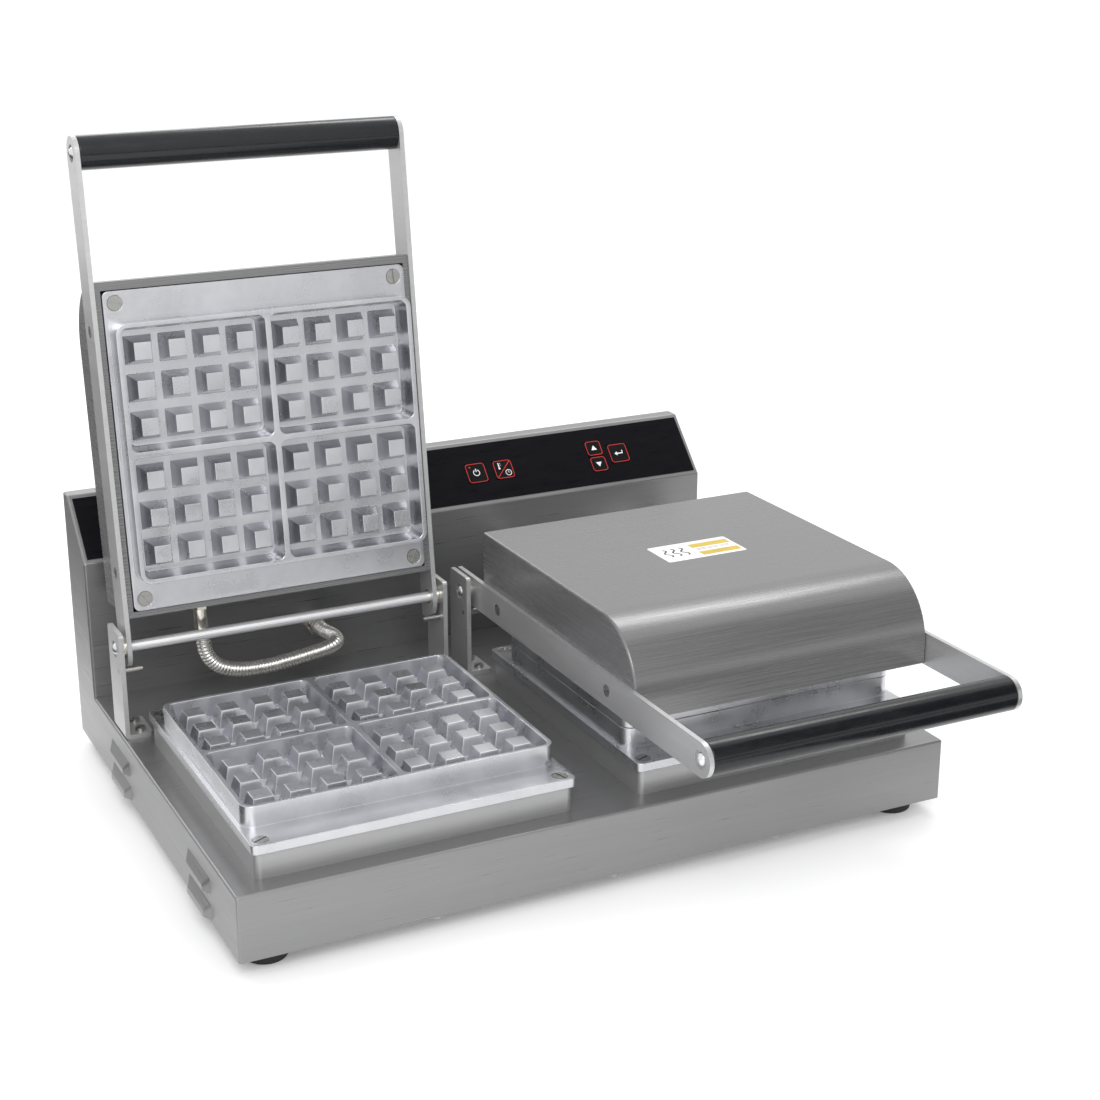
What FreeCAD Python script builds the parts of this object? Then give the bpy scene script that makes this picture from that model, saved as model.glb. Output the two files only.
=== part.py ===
import FreeCAD, Part
import math
import os
import re

import Sketcher
from FreeCAD import Placement, Rotation, Vector

# A double waffle maker: a folded steel base with a control box along its back, two
# cast waffle irons side by side, and a lid on each that swings up on its own shaft.
# Millimetres. X to the right, Y to the back, Z up. The left lid stands open and the
# right lid is closed. The dimensions are measured from the middle of the base, and
# origin_shift moves it all back, so that the origin is on the table under the middle
# of the whole outline, which the right grip makes longer in front.

os.makedirs("parts", exist_ok=True)
doc = FreeCAD.newDocument("waffle_maker")

DIMENSIONS = {
    # base and control box; the heights are above the table
    "origin_shift": 43,
    "base_width": 620,
    "base_depth": 466,
    "base_bottom": 14,
    "deck_top": 67.5,
    "box_front": 171,
    "panel_low": 193.5,
    "panel_back": 218,
    "box_top": 243.5,
    "sheet_metal": 1.5,
    "bend_radius": 2,
    "rim_width": 14,
    "cover_thick": 1.2,
    "cover_overlap": 3,
    "cover_thread": 4,
    "cover_head": 8,
    "deck_window": 200,
    "foot_top_radius": 19,
    "foot_sole_radius": 15.5,
    "foot_inset": 29,
    "foot_thread": 6,
    "foot_recess": 6,
    "louvre_length": 58,
    "louvre_height": 13,
    "louvre_tail": 8,
    "louvre_depth": 4.5,
    "louvre_slope": 60,
    "louvre_round": 5,
    "louvre_rise": 22,
    "louvre_low": 3,
    "louvre_spacing": 226,
    "louvre_centre": -26,
    # waffle irons
    "unit_offset": 159,
    "plate_y": -79,
    "iron_width": 257,
    "iron_depth": 216,
    "iron_wall": 4,
    "divider": 5,
    "iron_corner": 10,
    "flange_width": 264,
    "lower_flange_depth": 275,
    "upper_flange_depth": 267,
    "flange_thick": 7.5,
    "flange_corner": 5,
    "lower_face": 96,
    "lower_iron_height": 17,
    "upper_iron_height": 19.5,
    "iron_gap": 0.3,
    "stud_base": 23,
    "stud_draft": 14,
    "stud_sink": 2.2,
    "cavity_draft": 8,
    "cavity_corner": 6,
    "skirt_width": 259,
    "skirt_depth": 270,
    "plate_screw_inset": 10,
    "plate_screw_head": 12.4,
    "plate_screw_thread": 6,
    "plate_screw_sink": 3.2,
    "heater_diameter": 8,
    # hinge
    "hinge_y": 86,
    "hinge_z": 145,
    "open_angle": 97.5,
    "bracket_outer": 149.5,
    "bracket_thick": 4,
    "bracket_front": 69.5,
    "bracket_depth": 36.5,
    "bracket_top": 162,
    "bracket_foot": 20,
    "bracket_screw_thread": 5,
    "shaft_diameter": 9,
    "bolt_head": 11,
    "bolt_thread": 5,
    "bolt_sink": 2,
    "bolt_sink_diameter": 14.5,
    "bush_diameter": 13,
    "bush_flange": 18,
    "running_gap": 0.3,
    "pin_diameter": 5,
    "pin_forward": 7.9,
    "pin_drop": 17.9,
    "pin_reach": 16.5,
    # lids, in the frame of the hinge axis with the lid closed
    "hood_width": 275,
    "hood_rear": 26,
    "hood_front": 306,
    "hood_low": -10,
    "hood_high": 62.5,
    "hood_nose": 57,
    "lip_gap": 0.6,
    "arm_width": 28,
    "arm_thick": 4,
    "arm_rise": 2,
    "arm_tail": 20,
    "arm_tail_round": 19,
    "grip_reach": 409.5,
    "grip_diameter": 28,
    "grip_thread": 6,
    "arm_screw_near": 64,
    "arm_screw_far": 266,
    "arm_screw_head": 10,
    "arm_screw_thread": 5,
    "fitting_x": -66,
    "fitting_rise": 25.8,
    "fitting_length": 28,
    "hose_diameter": 13.5,
    "hose_bore": 9,
    "hose_hole": 12.2,
    "socket_x": 59.5,
    "socket_z": 103.5,
    "socket_length": 11,
    "gland_x": -240,
    "gland_z": 45,
    "gland_thread": 20,
    "gland_bore": 9,
    # control panel, in the frame of the sloping face
    "overlay_thick": 0.6,
    "overlay_inset": 4,
    "key_proud": 0.3,
    "key_clearance": 0.3,
    "key_corner": 3,
    "key_travel": 0.5,
    "board_depth": 7,
    "board_thick": 1.6,
}

# Each key's middle and size on the panel: across from the middle of the machine, up
# the slope from its lower edge, width, height.
KEYS = {
    "key_power": (77.3, 34.0, 20.6, 21.0),
    "key_mode": (106.0, 34.0, 20.0, 20.0),
    "key_up": (206.7, 42.8, 17.0, 16.2),
    "key_down": (206.7, 25.2, 17.0, 16.2),
    "key_enter": (231.3, 34.0, 20.6, 20.6),
}

sheet = doc.addObject("Spreadsheet::Sheet", "sheet")
for row, (alias, number) in enumerate(DIMENSIONS.items(), start=1):
    sheet.set(f"A{row}", alias)
    sheet.set(f"B{row}", str(number))
    sheet.setAlias(f"B{row}", alias)
doc.recompute()

SIDES = {"left": -1, "right": 1}

# Formulas that several pieces share.
SLOPE_LENGTH = "sqrt((panel_back - box_front)^2 + (box_top - panel_low)^2)"
PANEL_ANGLE = "atan2(box_top - panel_low; panel_back - box_front)"
PLATE_REACH = "(hinge_y - plate_y)"
UPPER_FACE = "(lower_face + lower_iron_height + iron_gap + upper_iron_height - hinge_z)"
CAVITY_WIDTH = "((iron_width - 2 * iron_wall - divider) / 2)"
CAVITY_DEPTH = "((iron_depth - 2 * iron_wall - divider) / 2)"
BRACKET_INNER = "(bracket_outer - bracket_thick)"
SCREW_X = "(flange_width / 2 - plate_screw_inset)"

# Where a piece's own frame stands: x, y, z and the turn about X, as formulas.
FRAMES = {
    "base": ("0", "origin_shift", "0", "0"),
    "panel": ("0", "origin_shift + box_front", "panel_low", PANEL_ANGLE),
}
for name, sign in SIDES.items():
    angle = "-open_angle" if name == "left" else "0"
    unit_x = f"{sign} * unit_offset"
    FRAMES[f"{name}_unit"] = (unit_x, "origin_shift", "0", "0")
    FRAMES[f"{name}_lid"] = (unit_x, "origin_shift + hinge_y", "hinge_z", angle)

nodes = []


def size(alias):
    """The number that a cell of the sheet holds."""
    return float(getattr(sheet, alias))


def formula(text):
    """The same formula with each dimension's name pointing into the sheet."""

    def cell(match):
        word = match.group(0)
        return f"sheet.{word}" if word in DIMENSIONS else word

    return re.sub(r"[a-z_]+[a-z]", cell, str(text))


def bind(thing, prop, text):
    thing.setExpression(prop, formula(text))


def place(thing, frame):
    """Bind a piece's Placement to one of the frames."""
    x, y, z, turn = FRAMES[frame]
    thing.Placement = Placement(Vector(), Rotation(Vector(1, 0, 0), 1))
    bind(thing, "Placement.Rotation.Angle", turn)
    for axis, text in zip("xyz", (x, y, z)):
        bind(thing, f"Placement.Base.{axis}", text)


def keep(thing, label, frame="base"):
    """Make a document object a node of the part, standing in its frame."""
    thing.Label = label
    place(thing, frame)
    nodes.append(thing)
    return thing


# ---------------------------------------------------------------- PartDesign helpers


def new_body(label, frame="base"):
    return keep(doc.addObject("PartDesign::Body", label), label, frame)


def origin_feature(body, role):
    return next(f for f in body.Origin.OriginFeatures if f.Role == role)


def new_sketch(body, plane, offset="0", middle=("0", "0")):
    """An empty sketch on an origin plane, moved along its normal and in its plane."""
    sketch = body.newObject("Sketcher::SketchObject", "sketch")
    sketch.AttachmentSupport = [(origin_feature(body, f"{plane}_Plane"), "")]
    sketch.MapMode = "FlatFace"
    for axis, text in zip("xyz", (*middle, offset)):
        bind(sketch, f"AttachmentOffset.Base.{axis}", text)
    return sketch


def draw_outline(sketch, points):
    """A closed outline of straight lines through points given as formulas."""
    first = sketch.GeometryCount
    count = len(points)
    corners = [
        Vector(math.cos(2 * math.pi * n / count), math.sin(2 * math.pi * n / count), 0)
        for n in range(count)
    ]
    for n in range(count):
        sketch.addGeometry(Part.LineSegment(corners[n], corners[(n + 1) % count]))
    for n, point in enumerate(points):
        line, following = first + n, first + (n + 1) % count
        sketch.addConstraint(Sketcher.Constraint("Coincident", line, 2, following, 1))
        for kind, text in zip(("DistanceX", "DistanceY"), point):
            rule = Sketcher.Constraint(kind, -1, 1, line, 1, 1.0)
            bind(sketch, f"Constraints[{sketch.addConstraint(rule)}]", text)


def draw_rectangle(sketch, width, height, middle=("0", "0")):
    x, y = middle
    corners = ((-1, -1), (1, -1), (1, 1), (-1, 1))
    draw_outline(
        sketch,
        [
            (f"{x} + {across} * ({width}) / 2", f"{y} + {up} * ({height}) / 2")
            for across, up in corners
        ],
    )


def draw_circle(sketch, diameter, middle=("0", "0")):
    ring = sketch.addGeometry(Part.Circle(Vector(0, 0, 0), Vector(0, 0, 1), 1))
    rule = Sketcher.Constraint("Diameter", ring, 2.0)
    bind(sketch, f"Constraints[{sketch.addConstraint(rule)}]", diameter)
    for kind, text in zip(("DistanceX", "DistanceY"), middle):
        rule = Sketcher.Constraint(kind, -1, 1, ring, 3, 1.0)
        bind(sketch, f"Constraints[{sketch.addConstraint(rule)}]", text)


def extrude(body, kind, sketch, length, both_ways=False, taper="0", reverse=False):
    feature = body.newObject(f"PartDesign::{kind}", kind.lower())
    feature.Profile = sketch
    feature.Midplane = both_ways
    feature.Reversed = reverse
    bind(feature, "Length", length)
    bind(feature, "TaperAngle", taper)
    return feature


def pad(body, sketch, length, **how):
    return extrude(body, "Pad", sketch, length, **how)


def pocket(body, sketch, length, **how):
    """Cut, and make sure that something was cut."""
    doc.recompute()
    before = body.Shape.Volume
    feature = extrude(body, "Pocket", sketch, length, **how)
    doc.recompute()
    assert body.Shape.Volume < before - 1e-3, f"a pocket in {body.Label} cuts nothing"
    return feature


def bore(body, plane, offset, depth, diameter, middles):
    """Round holes through both sides of a plane, each half of depth deep."""
    sketch = new_sketch(body, plane, offset)
    for middle in middles:
        draw_circle(sketch, diameter, middle)
    return pocket(body, sketch, depth, both_ways=True)


def round_edges(body, radius, chosen):
    """Fillet the edges that chosen(edge) picks on the body as it is so far."""
    doc.recompute()
    tip = body.Tip
    names = [f"Edge{n}" for n, edge in enumerate(tip.Shape.Edges, 1) if chosen(edge)]
    assert names, f"no edge to round on {body.Label}"
    feature = body.newObject("PartDesign::Fillet", "fillet")
    feature.Base = (tip, names)
    bind(feature, "Radius", radius)
    return feature


def runs_along(edge, axis):
    """Whether an edge is straight and parallel to an axis."""
    if len(edge.Vertexes) < 2 or not isinstance(edge.Curve, Part.Line):
        return False
    return abs(abs(edge.Curve.Direction.dot(axis)) - 1) < 1e-6


def grid(body, feature_list, along_x, along_y):
    """Repeat features in rows: (count, length) along X and along Y."""
    pattern = doc.addObject("PartDesign::LinearPattern", "grid")
    body.addObject(pattern)
    pattern.Originals = feature_list
    set_grid(body, pattern, along_x, along_y)
    body.Tip = pattern
    return pattern


def set_grid(body, pattern, along_x, along_y, roles=("X_Axis", "Y_Axis")):
    pattern.Direction = (origin_feature(body, roles[0]), [""])
    pattern.Direction2 = (origin_feature(body, roles[1]), [""])
    pattern.Occurrences, pattern.Occurrences2 = along_x[0], along_y[0]
    bind(pattern, "Length", along_x[1])
    bind(pattern, "Length2", along_y[1])


X, Y, Z = Vector(1, 0, 0), Vector(0, 1, 0), Vector(0, 0, 1)


# ---------------------------------------------------------------- Part helpers


def block(length, width, height, corner):
    """A box from its lowest corner."""
    box = doc.addObject("Part::Box", "block")
    for prop, text in zip(("Length", "Width", "Height"), (length, width, height)):
        bind(box, prop, text)
    for axis, text in zip("xyz", corner):
        bind(box, f"Placement.Base.{axis}", text)
    return box


def rod(diameter, length, foot, axis="z"):
    """A cylinder that starts at foot and runs along an axis."""
    cylinder = doc.addObject("Part::Cylinder", "rod")
    turns = {"x": Rotation(Y, 90), "y": Rotation(X, -90), "z": Rotation()}
    cylinder.Placement = Placement(Vector(), turns[axis])
    bind(cylinder, "Radius", f"({diameter}) / 2")
    bind(cylinder, "Height", length)
    for letter, text in zip("xyz", foot):
        bind(cylinder, f"Placement.Base.{letter}", text)
    return cylinder


def hexagon(across_flats, length, foot, axis):
    """A hexagonal prism that starts at foot and runs along an axis."""
    prism = doc.addObject("Part::Prism", "hexagon")
    turns = {"y": Rotation(X, -90), "z": Rotation()}
    prism.Polygon = 6
    prism.Placement = Placement(Vector(), turns[axis])
    bind(prism, "Circumradius", f"({across_flats}) / sqrt(3)")
    bind(prism, "Height", length)
    for letter, text in zip("xyz", foot):
        bind(prism, f"Placement.Base.{letter}", text)
    return prism


def fuse(*pieces):
    joined = doc.addObject("Part::MultiFuse", "fused")
    joined.Shapes = list(pieces)
    return joined


def cut(piece, *tools):
    left = doc.addObject("Part::Cut", "cut")
    left.Base = piece
    left.Tool = tools[0] if len(tools) == 1 else fuse(*tools)
    return left


def group(label, frame, placed):
    """One node of separate solids: (master piece, Placement) pairs, copied."""
    doc.recompute()
    copies = []
    for master, spot in placed:
        shape = master.Shape.copy()
        shape.Placement = spot.multiply(shape.Placement)
        copies.append(shape)
    node = doc.addObject("Part::Feature", label)
    node.Shape = Part.Compound(copies)
    return keep(node, label, frame)


def turned(x, y, z, rotation=Rotation()):
    return Placement(Vector(x, y, z), rotation)


def slotted_screw(head, thread, head_height, length, slot=1.2):
    """Head up, its underside at z = 0 and its thread running down."""
    return cut(
        fuse(
            rod(head, head_height, ("0", "0", "0")),
            rod(thread, length, ("0", "0", f"-({length})")),
        ),
        block(
            f"({head}) + 2",
            slot,
            head_height,
            (f"-({head}) / 2 - 1", f"-{slot} / 2", f"({head_height}) * 0.55"),
        ),
    )


def domed_bolt(head, thread, dome, length):
    """A button-head bolt, its underside at z = 0 and its thread running down."""
    ball = doc.addObject("Part::Sphere", "dome")
    bind(ball, "Radius", f"(({head})^2 / 4 + ({dome})^2) / (2 * ({dome}))")
    bind(ball, "Placement.Base.z", f"({dome}) - (({head})^2 / 4 + ({dome})^2) / (2 * ({dome}))")
    cap = doc.addObject("Part::Common", "cap")
    cap.Base = ball
    cap.Tool = rod(head, dome, ("0", "0", "0"))
    socket = hexagon("3.4", f"({dome}) * 0.6", ("0", "0", f"({dome}) * 0.55"), "z")
    return cut(fuse(cap, rod(thread, length, ("0", "0", f"-({length})"))), socket)


def rounded_path(points):
    """Straight runs joined by tangent arcs, each arc as large as its runs allow."""
    points = [Vector(*point) for point in points]
    edges = []
    radii = []
    start = points[0]
    for before, corner, after in zip(points, points[1:], points[2:]):
        incoming, outgoing = corner - before, after - corner
        shorter = min(incoming.Length, outgoing.Length)
        half_turn = incoming.getAngle(outgoing) / 2
        setback = 0.45 * shorter
        radii.append(setback / math.tan(half_turn))
        incoming.normalize()
        outgoing.normalize()
        arc_start = corner - incoming * setback
        arc_end = corner + outgoing * setback
        inward = (outgoing - incoming).normalize()
        bulge = radii[-1] * (1 / math.cos(half_turn) - 1)
        edges.append(Part.LineSegment(start, arc_start).toShape())
        edges.append(Part.Arc(arc_start, corner + inward * bulge, arc_end).toShape())
        start = arc_end
    edges.append(Part.LineSegment(start, points[-1]).toShape())
    return Part.Wire(edges), radii


def tube_along(points, diameter):
    """A round bar swept along the rounded path of its points."""
    path, radii = rounded_path(points)
    start = path.Edges[0]
    circle = Part.Circle(start.Vertexes[0].Point, start.tangentAt(0), diameter / 2)
    section = Part.Wire([circle.toShape()])
    shape = path.makePipeShell([section], True, True)
    expected = path.Length * math.pi * diameter**2 / 4
    assert abs(shape.Volume / expected - 1) < 0.01, "a swept tube has the wrong volume"
    return shape, path.Length, min(radii)


# ---------------------------------------------------------------- base


def make_base_housing():
    """Folded steel: a low deck in front and the control box with its sloping panel."""
    body = new_body("base_housing")
    outline = [
        ("-base_depth / 2", "base_bottom"),
        ("-base_depth / 2", "deck_top"),
        ("box_front", "deck_top"),
        ("box_front", "panel_low"),
        ("panel_back", "box_top"),
        ("base_depth / 2", "box_top"),
        ("base_depth / 2", "base_bottom"),
    ]
    sketch = new_sketch(body, "YZ")
    draw_outline(sketch, outline)
    pad(body, sketch, "base_width", both_ways=True)
    half = size("base_width") / 2
    inner_corner = (size("box_front"), size("deck_top"))

    def outer_bend(edge):
        middle = edge.CenterOfMass
        if runs_along(edge, X):
            bottom = abs(middle.z - size("base_bottom")) < 0.01
            inside = math.dist((middle.y, middle.z), inner_corner) < 0.01
            return not bottom and not inside
        level = abs(middle.z - size("base_bottom")) < 0.01
        return abs(abs(middle.x) - half) < 0.01 and not level

    round_edges(body, "bend_radius", outer_bend)
    add_louvres(body)
    # the hollow inside, one sheet in from the outline; on the slope that is measured
    # square to the panel
    rise, run = "(box_top - panel_low)", "(panel_back - box_front)"
    along = f"sheet_metal * ({SLOPE_LENGTH} - {rise}) / {run}"
    over = f"sheet_metal * ({SLOPE_LENGTH} - {run}) / {rise}"
    sketch = new_sketch(body, "YZ")
    draw_outline(
        sketch,
        [
            ("-base_depth / 2 + sheet_metal", "base_bottom + sheet_metal"),
            ("-base_depth / 2 + sheet_metal", "deck_top - sheet_metal"),
            ("box_front + sheet_metal", "deck_top - sheet_metal"),
            ("box_front + sheet_metal", f"panel_low - {along}"),
            (f"panel_back + {over}", "box_top - sheet_metal"),
            ("base_depth / 2 - sheet_metal", "box_top - sheet_metal"),
            ("base_depth / 2 - sheet_metal", "base_bottom + sheet_metal"),
        ],
    )
    pocket(body, sketch, "base_width - 2 * sheet_metal", both_ways=True)
    hollow_louvres(body)
    cut_housing_windows(body)
    cut_housing_holes(body)


def cut_housing_windows(body):
    """The service openings underneath and behind, the heater windows and the keys."""
    sketch = new_sketch(body, "XY", "base_bottom")
    draw_rectangle(sketch, "base_width - 2 * rim_width", "base_depth - 2 * rim_width")
    pocket(body, sketch, "4 * sheet_metal", both_ways=True)
    sketch = new_sketch(body, "XZ", "-base_depth / 2")
    draw_rectangle(
        sketch,
        "base_width - 2 * rim_width",
        "box_top - base_bottom - 2 * rim_width",
        ("0", "(box_top + base_bottom) / 2"),
    )
    pocket(body, sketch, "4 * sheet_metal", both_ways=True)
    sketch = new_sketch(body, "XY", "deck_top")
    for sign in SIDES.values():
        middle = (f"{sign} * unit_offset", "plate_y")
        draw_rectangle(sketch, "deck_window", "deck_window", middle)
    pocket(body, sketch, "4 * sheet_metal", both_ways=True)
    sketch = new_sketch(body, "XZ", "-box_front")
    bind(sketch, "AttachmentOffset.Base.y", "panel_low")
    sketch.AttachmentOffset = Placement(sketch.AttachmentOffset.Base, Rotation(X, 1))
    bind(sketch, "AttachmentOffset.Rotation.Angle", f"{PANEL_ANGLE} - 90 deg")
    draw_key_windows(sketch)
    pocket(body, sketch, "5 * sheet_metal", both_ways=True)


def draw_key_windows(sketch):
    for across, up, width, height in KEYS.values():
        draw_rectangle(
            sketch,
            f"{width} + 2 * key_clearance",
            f"{height} + 2 * key_clearance",
            (f"{across}", f"{up}"),
        )


def plate_screw_spots(depth):
    """The four corners where a waffle plate is screwed down."""
    return [
        (f"{across} * {SCREW_X}", f"{along} * ({depth} / 2 - plate_screw_inset)")
        for across in (-1, 1)
        for along in (-1, 1)
    ]


def bracket_screw_spots(sign):
    """Two screws in the foot of the bracket on one side of a unit."""
    x = f"{sign} * ({BRACKET_INNER} - bracket_foot / 2 - 1)"
    return [
        (x, f"bracket_front + bracket_depth * {part}") for part in ("0.22", "0.78")
    ]


def cut_housing_holes(body):
    """Round holes for the plates' and brackets' screws and for the two hoses."""
    plate_holes = []
    bracket_holes = []
    hose_holes = []
    for unit in SIDES.values():
        for x, y in plate_screw_spots("lower_flange_depth"):
            plate_holes.append((f"{unit} * unit_offset + {x}", f"plate_y + {y}"))
        for side in SIDES.values():
            for x, y in bracket_screw_spots(side):
                bracket_holes.append((f"{unit} * unit_offset + {x}", y))
        hose_holes.append((f"{unit} * unit_offset + socket_x", "socket_z"))
    through = "4 * sheet_metal"
    bore(body, "XY", "deck_top", through, "plate_screw_thread + 0.3", plate_holes)
    bore(body, "XY", "deck_top", through, "bracket_screw_thread + 0.3", bracket_holes)
    bore(body, "XZ", "-box_front", through, "hose_hole", hose_holes)
    bore(body, "XZ", "-base_depth / 2", through, "cover_thread", cover_screw_spots())
    bore(body, "XY", "base_bottom", through, "cover_thread", floor_screw_spots())


def draw_louvres(sketch, low, high, wider="0"):
    """Two rows of two on a side wall, from low to high above their lower lips."""
    for along in (-1, 1):
        for row in (0, 1):
            lip = f"base_bottom + louvre_low + {row} * louvre_rise"
            middle = (
                f"louvre_centre + {along} * louvre_spacing / 2",
                f"{lip} + ({high} + ({low})) / 2",
            )
            draw_rectangle(sketch, f"louvre_length + {wider}", f"{high} - ({low})", middle)


def add_louvres(body):
    """Pressed louvres: they swell out of the wall and end below in a straight lip."""
    for side in SIDES.values():
        sketch = new_sketch(body, "YZ", f"{side} * base_width / 2")
        draw_louvres(sketch, "-louvre_tail", "louvre_height")
        pad(body, sketch, "louvre_depth", reverse=side < 0, taper="-louvre_slope")
        sketch = new_sketch(body, "YZ", f"{side} * base_width / 2")
        draw_louvres(sketch, "-louvre_tail - 0.5", "0", "2")
        pocket(body, sketch, "louvre_depth + 1", reverse=side > 0)
    wall, face = size("base_width") / 2, size("base_width") / 2 + size("louvre_depth")
    first = size("base_bottom") + size("louvre_low")
    lips = (first, first + size("louvre_rise"))

    def swelling(edge):
        middle, box = edge.CenterOfMass, edge.BoundBox
        on_lip = box.ZLength < 0.01 and min(abs(middle.z - lip) for lip in lips) < 0.01
        on_face = box.XLength < 0.01 and abs(abs(middle.x) - face) < 0.01
        slanted = min(box.XLength, box.YLength, box.ZLength) > 1 and abs(middle.x) > wall
        return slanted or (on_face and not on_lip)

    round_edges(body, "louvre_round", swelling)


def hollow_louvres(body):
    """The inside of the louvres and the slots behind them; their lower side is open."""
    inside = "louvre_height - cover_thick"
    for side in SIDES.values():
        sketch = new_sketch(body, "YZ", f"{side} * base_width / 2")
        draw_louvres(sketch, "cover_thick - louvre_tail", inside, "-2 * cover_thick")
        depth = "louvre_depth - cover_thick"
        pocket(body, sketch, depth, reverse=side > 0, taper="-louvre_slope")
        sketch = new_sketch(body, "YZ", f"{side} * base_width / 2")
        draw_louvres(sketch, "0", inside, "-2 * cover_thick")
        pocket(body, sketch, "2 * sheet_metal", reverse=side < 0)


def cover_screw_spots():
    """Around the rear cover: x and z."""
    middle = "(box_top + base_bottom) / 2"
    across = "(base_width / 2 - rim_width / 2)"
    up = "((box_top - base_bottom) / 2 - rim_width / 2)"
    return [(f"{i} * {across} / 2", f"{middle} + {k} * {up}") for i in (-2, 0, 2) for k in (-1, 1)]


def floor_screw_spots():
    """Around the floor plate: x and y."""
    across = "(base_width / 2 - rim_width / 2)"
    along = "(base_depth / 2 - rim_width / 2)"
    return [(f"{i} * {across} / 2", f"{k} * {along}") for i in (-1, 0, 1) for k in (-1, 1)]


def foot_spots():
    return [
        (f"{i} * (base_width / 2 - foot_inset)", f"{k} * (base_depth / 2 - foot_inset)")
        for k in (-1, 1)
        for i in (-1, 1)
    ]


def make_bottom_plate():
    body = new_body("bottom_plate")
    sketch = new_sketch(body, "XY", "base_bottom - cover_thick")
    draw_rectangle(
        sketch, "base_width - 2 * cover_overlap", "base_depth - 2 * cover_overlap"
    )
    pad(body, sketch, "cover_thick")
    bore(body, "XY", "base_bottom", "6", "cover_thread + 0.3", floor_screw_spots())
    bore(body, "XY", "base_bottom", "6", "foot_thread + 0.3", foot_spots())
    sketch = new_sketch(body, "XY", "base_bottom", ("-base_width * 0.3", "-60"))
    draw_rectangle(sketch, "70", "6")
    slot = pocket(body, sketch, "6", both_ways=True)
    grid(body, [slot], (5, "base_width * 0.6"), (6, "120"))


def make_rear_cover():
    body = new_body("rear_cover")
    outside = "-(base_depth / 2 + cover_thick / 2)"
    middle_z = "(box_top + base_bottom) / 2"
    sketch = new_sketch(body, "XZ", outside)
    draw_rectangle(
        sketch,
        "base_width - 2 * cover_overlap",
        "box_top - base_bottom - 2 * cover_overlap",
        ("0", middle_z),
    )
    pad(body, sketch, "cover_thick", both_ways=True)
    bore(body, "XZ", outside, "6", "cover_thread + 0.3", cover_screw_spots())
    bore(body, "XZ", outside, "6", "gland_thread + 0.3", [("gland_x", "gland_z")])
    sketch = new_sketch(body, "XZ", outside, ("-110", f"{middle_z} + 24"))
    draw_rectangle(sketch, "5", "46")
    slot = pocket(body, sketch, "6", both_ways=True)
    grid(body, [slot], (21, "220"), (1, "10"))


def make_foot(label, frame):
    """A rubber foot with a recess for its screw's head, turned about Z."""
    body = new_body(label, frame)
    top = "(base_bottom - cover_thick)"
    sketch = new_sketch(body, "XZ")
    draw_outline(
        sketch,
        [
            ("foot_thread / 2 + 0.2", top),
            ("foot_top_radius", top),
            ("foot_top_radius", f"{top} * 0.72"),
            ("foot_sole_radius + 1.5", "1.2"),
            ("foot_sole_radius", "0"),
            ("foot_thread + 0.5", "0"),
            ("foot_thread + 0.5", "foot_recess"),
            ("foot_thread / 2 + 0.2", "foot_recess"),
        ],
    )
    turn = body.newObject("PartDesign::Revolution", "turn")
    turn.Profile = sketch
    turn.ReferenceAxis = (origin_feature(body, "Z_Axis"), [""])
    turn.Angle = 360


def make_feet():
    names = ("front_left", "front_right", "rear_left", "rear_right")
    for name, (x, y) in zip(names, foot_spots()):
        FRAMES[f"foot_{name}"] = (x, f"origin_shift + {y}", "0", "0")
        make_foot(f"foot_{name}", f"foot_{name}")


def number(text):
    """What a formula comes to, read from a scratch object bound to it."""
    marker = doc.addObject("App::FeaturePython", "marker")
    marker.addProperty("App::PropertyFloat", "Answer")
    bind(marker, "Answer", text)
    doc.recompute()
    answer = marker.Answer
    doc.removeObject(marker.Name)
    return answer


def numbers(spots):
    return [tuple(number(text) for text in spot) for spot in spots]


def make_housing_screws():
    """Rear cover, floor plate and foot screws, each group with its own head."""
    cover_screw = slotted_screw("cover_head", "cover_thread", "2.2", "6")
    foot_screw = slotted_screw("2 * foot_thread - 1", "foot_thread", "3.6", "16")
    back = size("base_depth") / 2 + size("cover_thick")
    below = size("base_bottom") - size("cover_thick")
    head_down = Rotation(X, 180)
    head_back = Rotation(X, -90)
    placed = [
        (cover_screw, turned(x, back, z, head_back)) for x, z in numbers(cover_screw_spots())
    ]
    placed += [
        (cover_screw, turned(x, y, below, head_down)) for x, y in numbers(floor_screw_spots())
    ]
    placed += [
        (foot_screw, turned(x, y, size("foot_recess"), head_down))
        for x, y in numbers(foot_spots())
    ]
    group("housing_screws", "base", placed)


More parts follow.
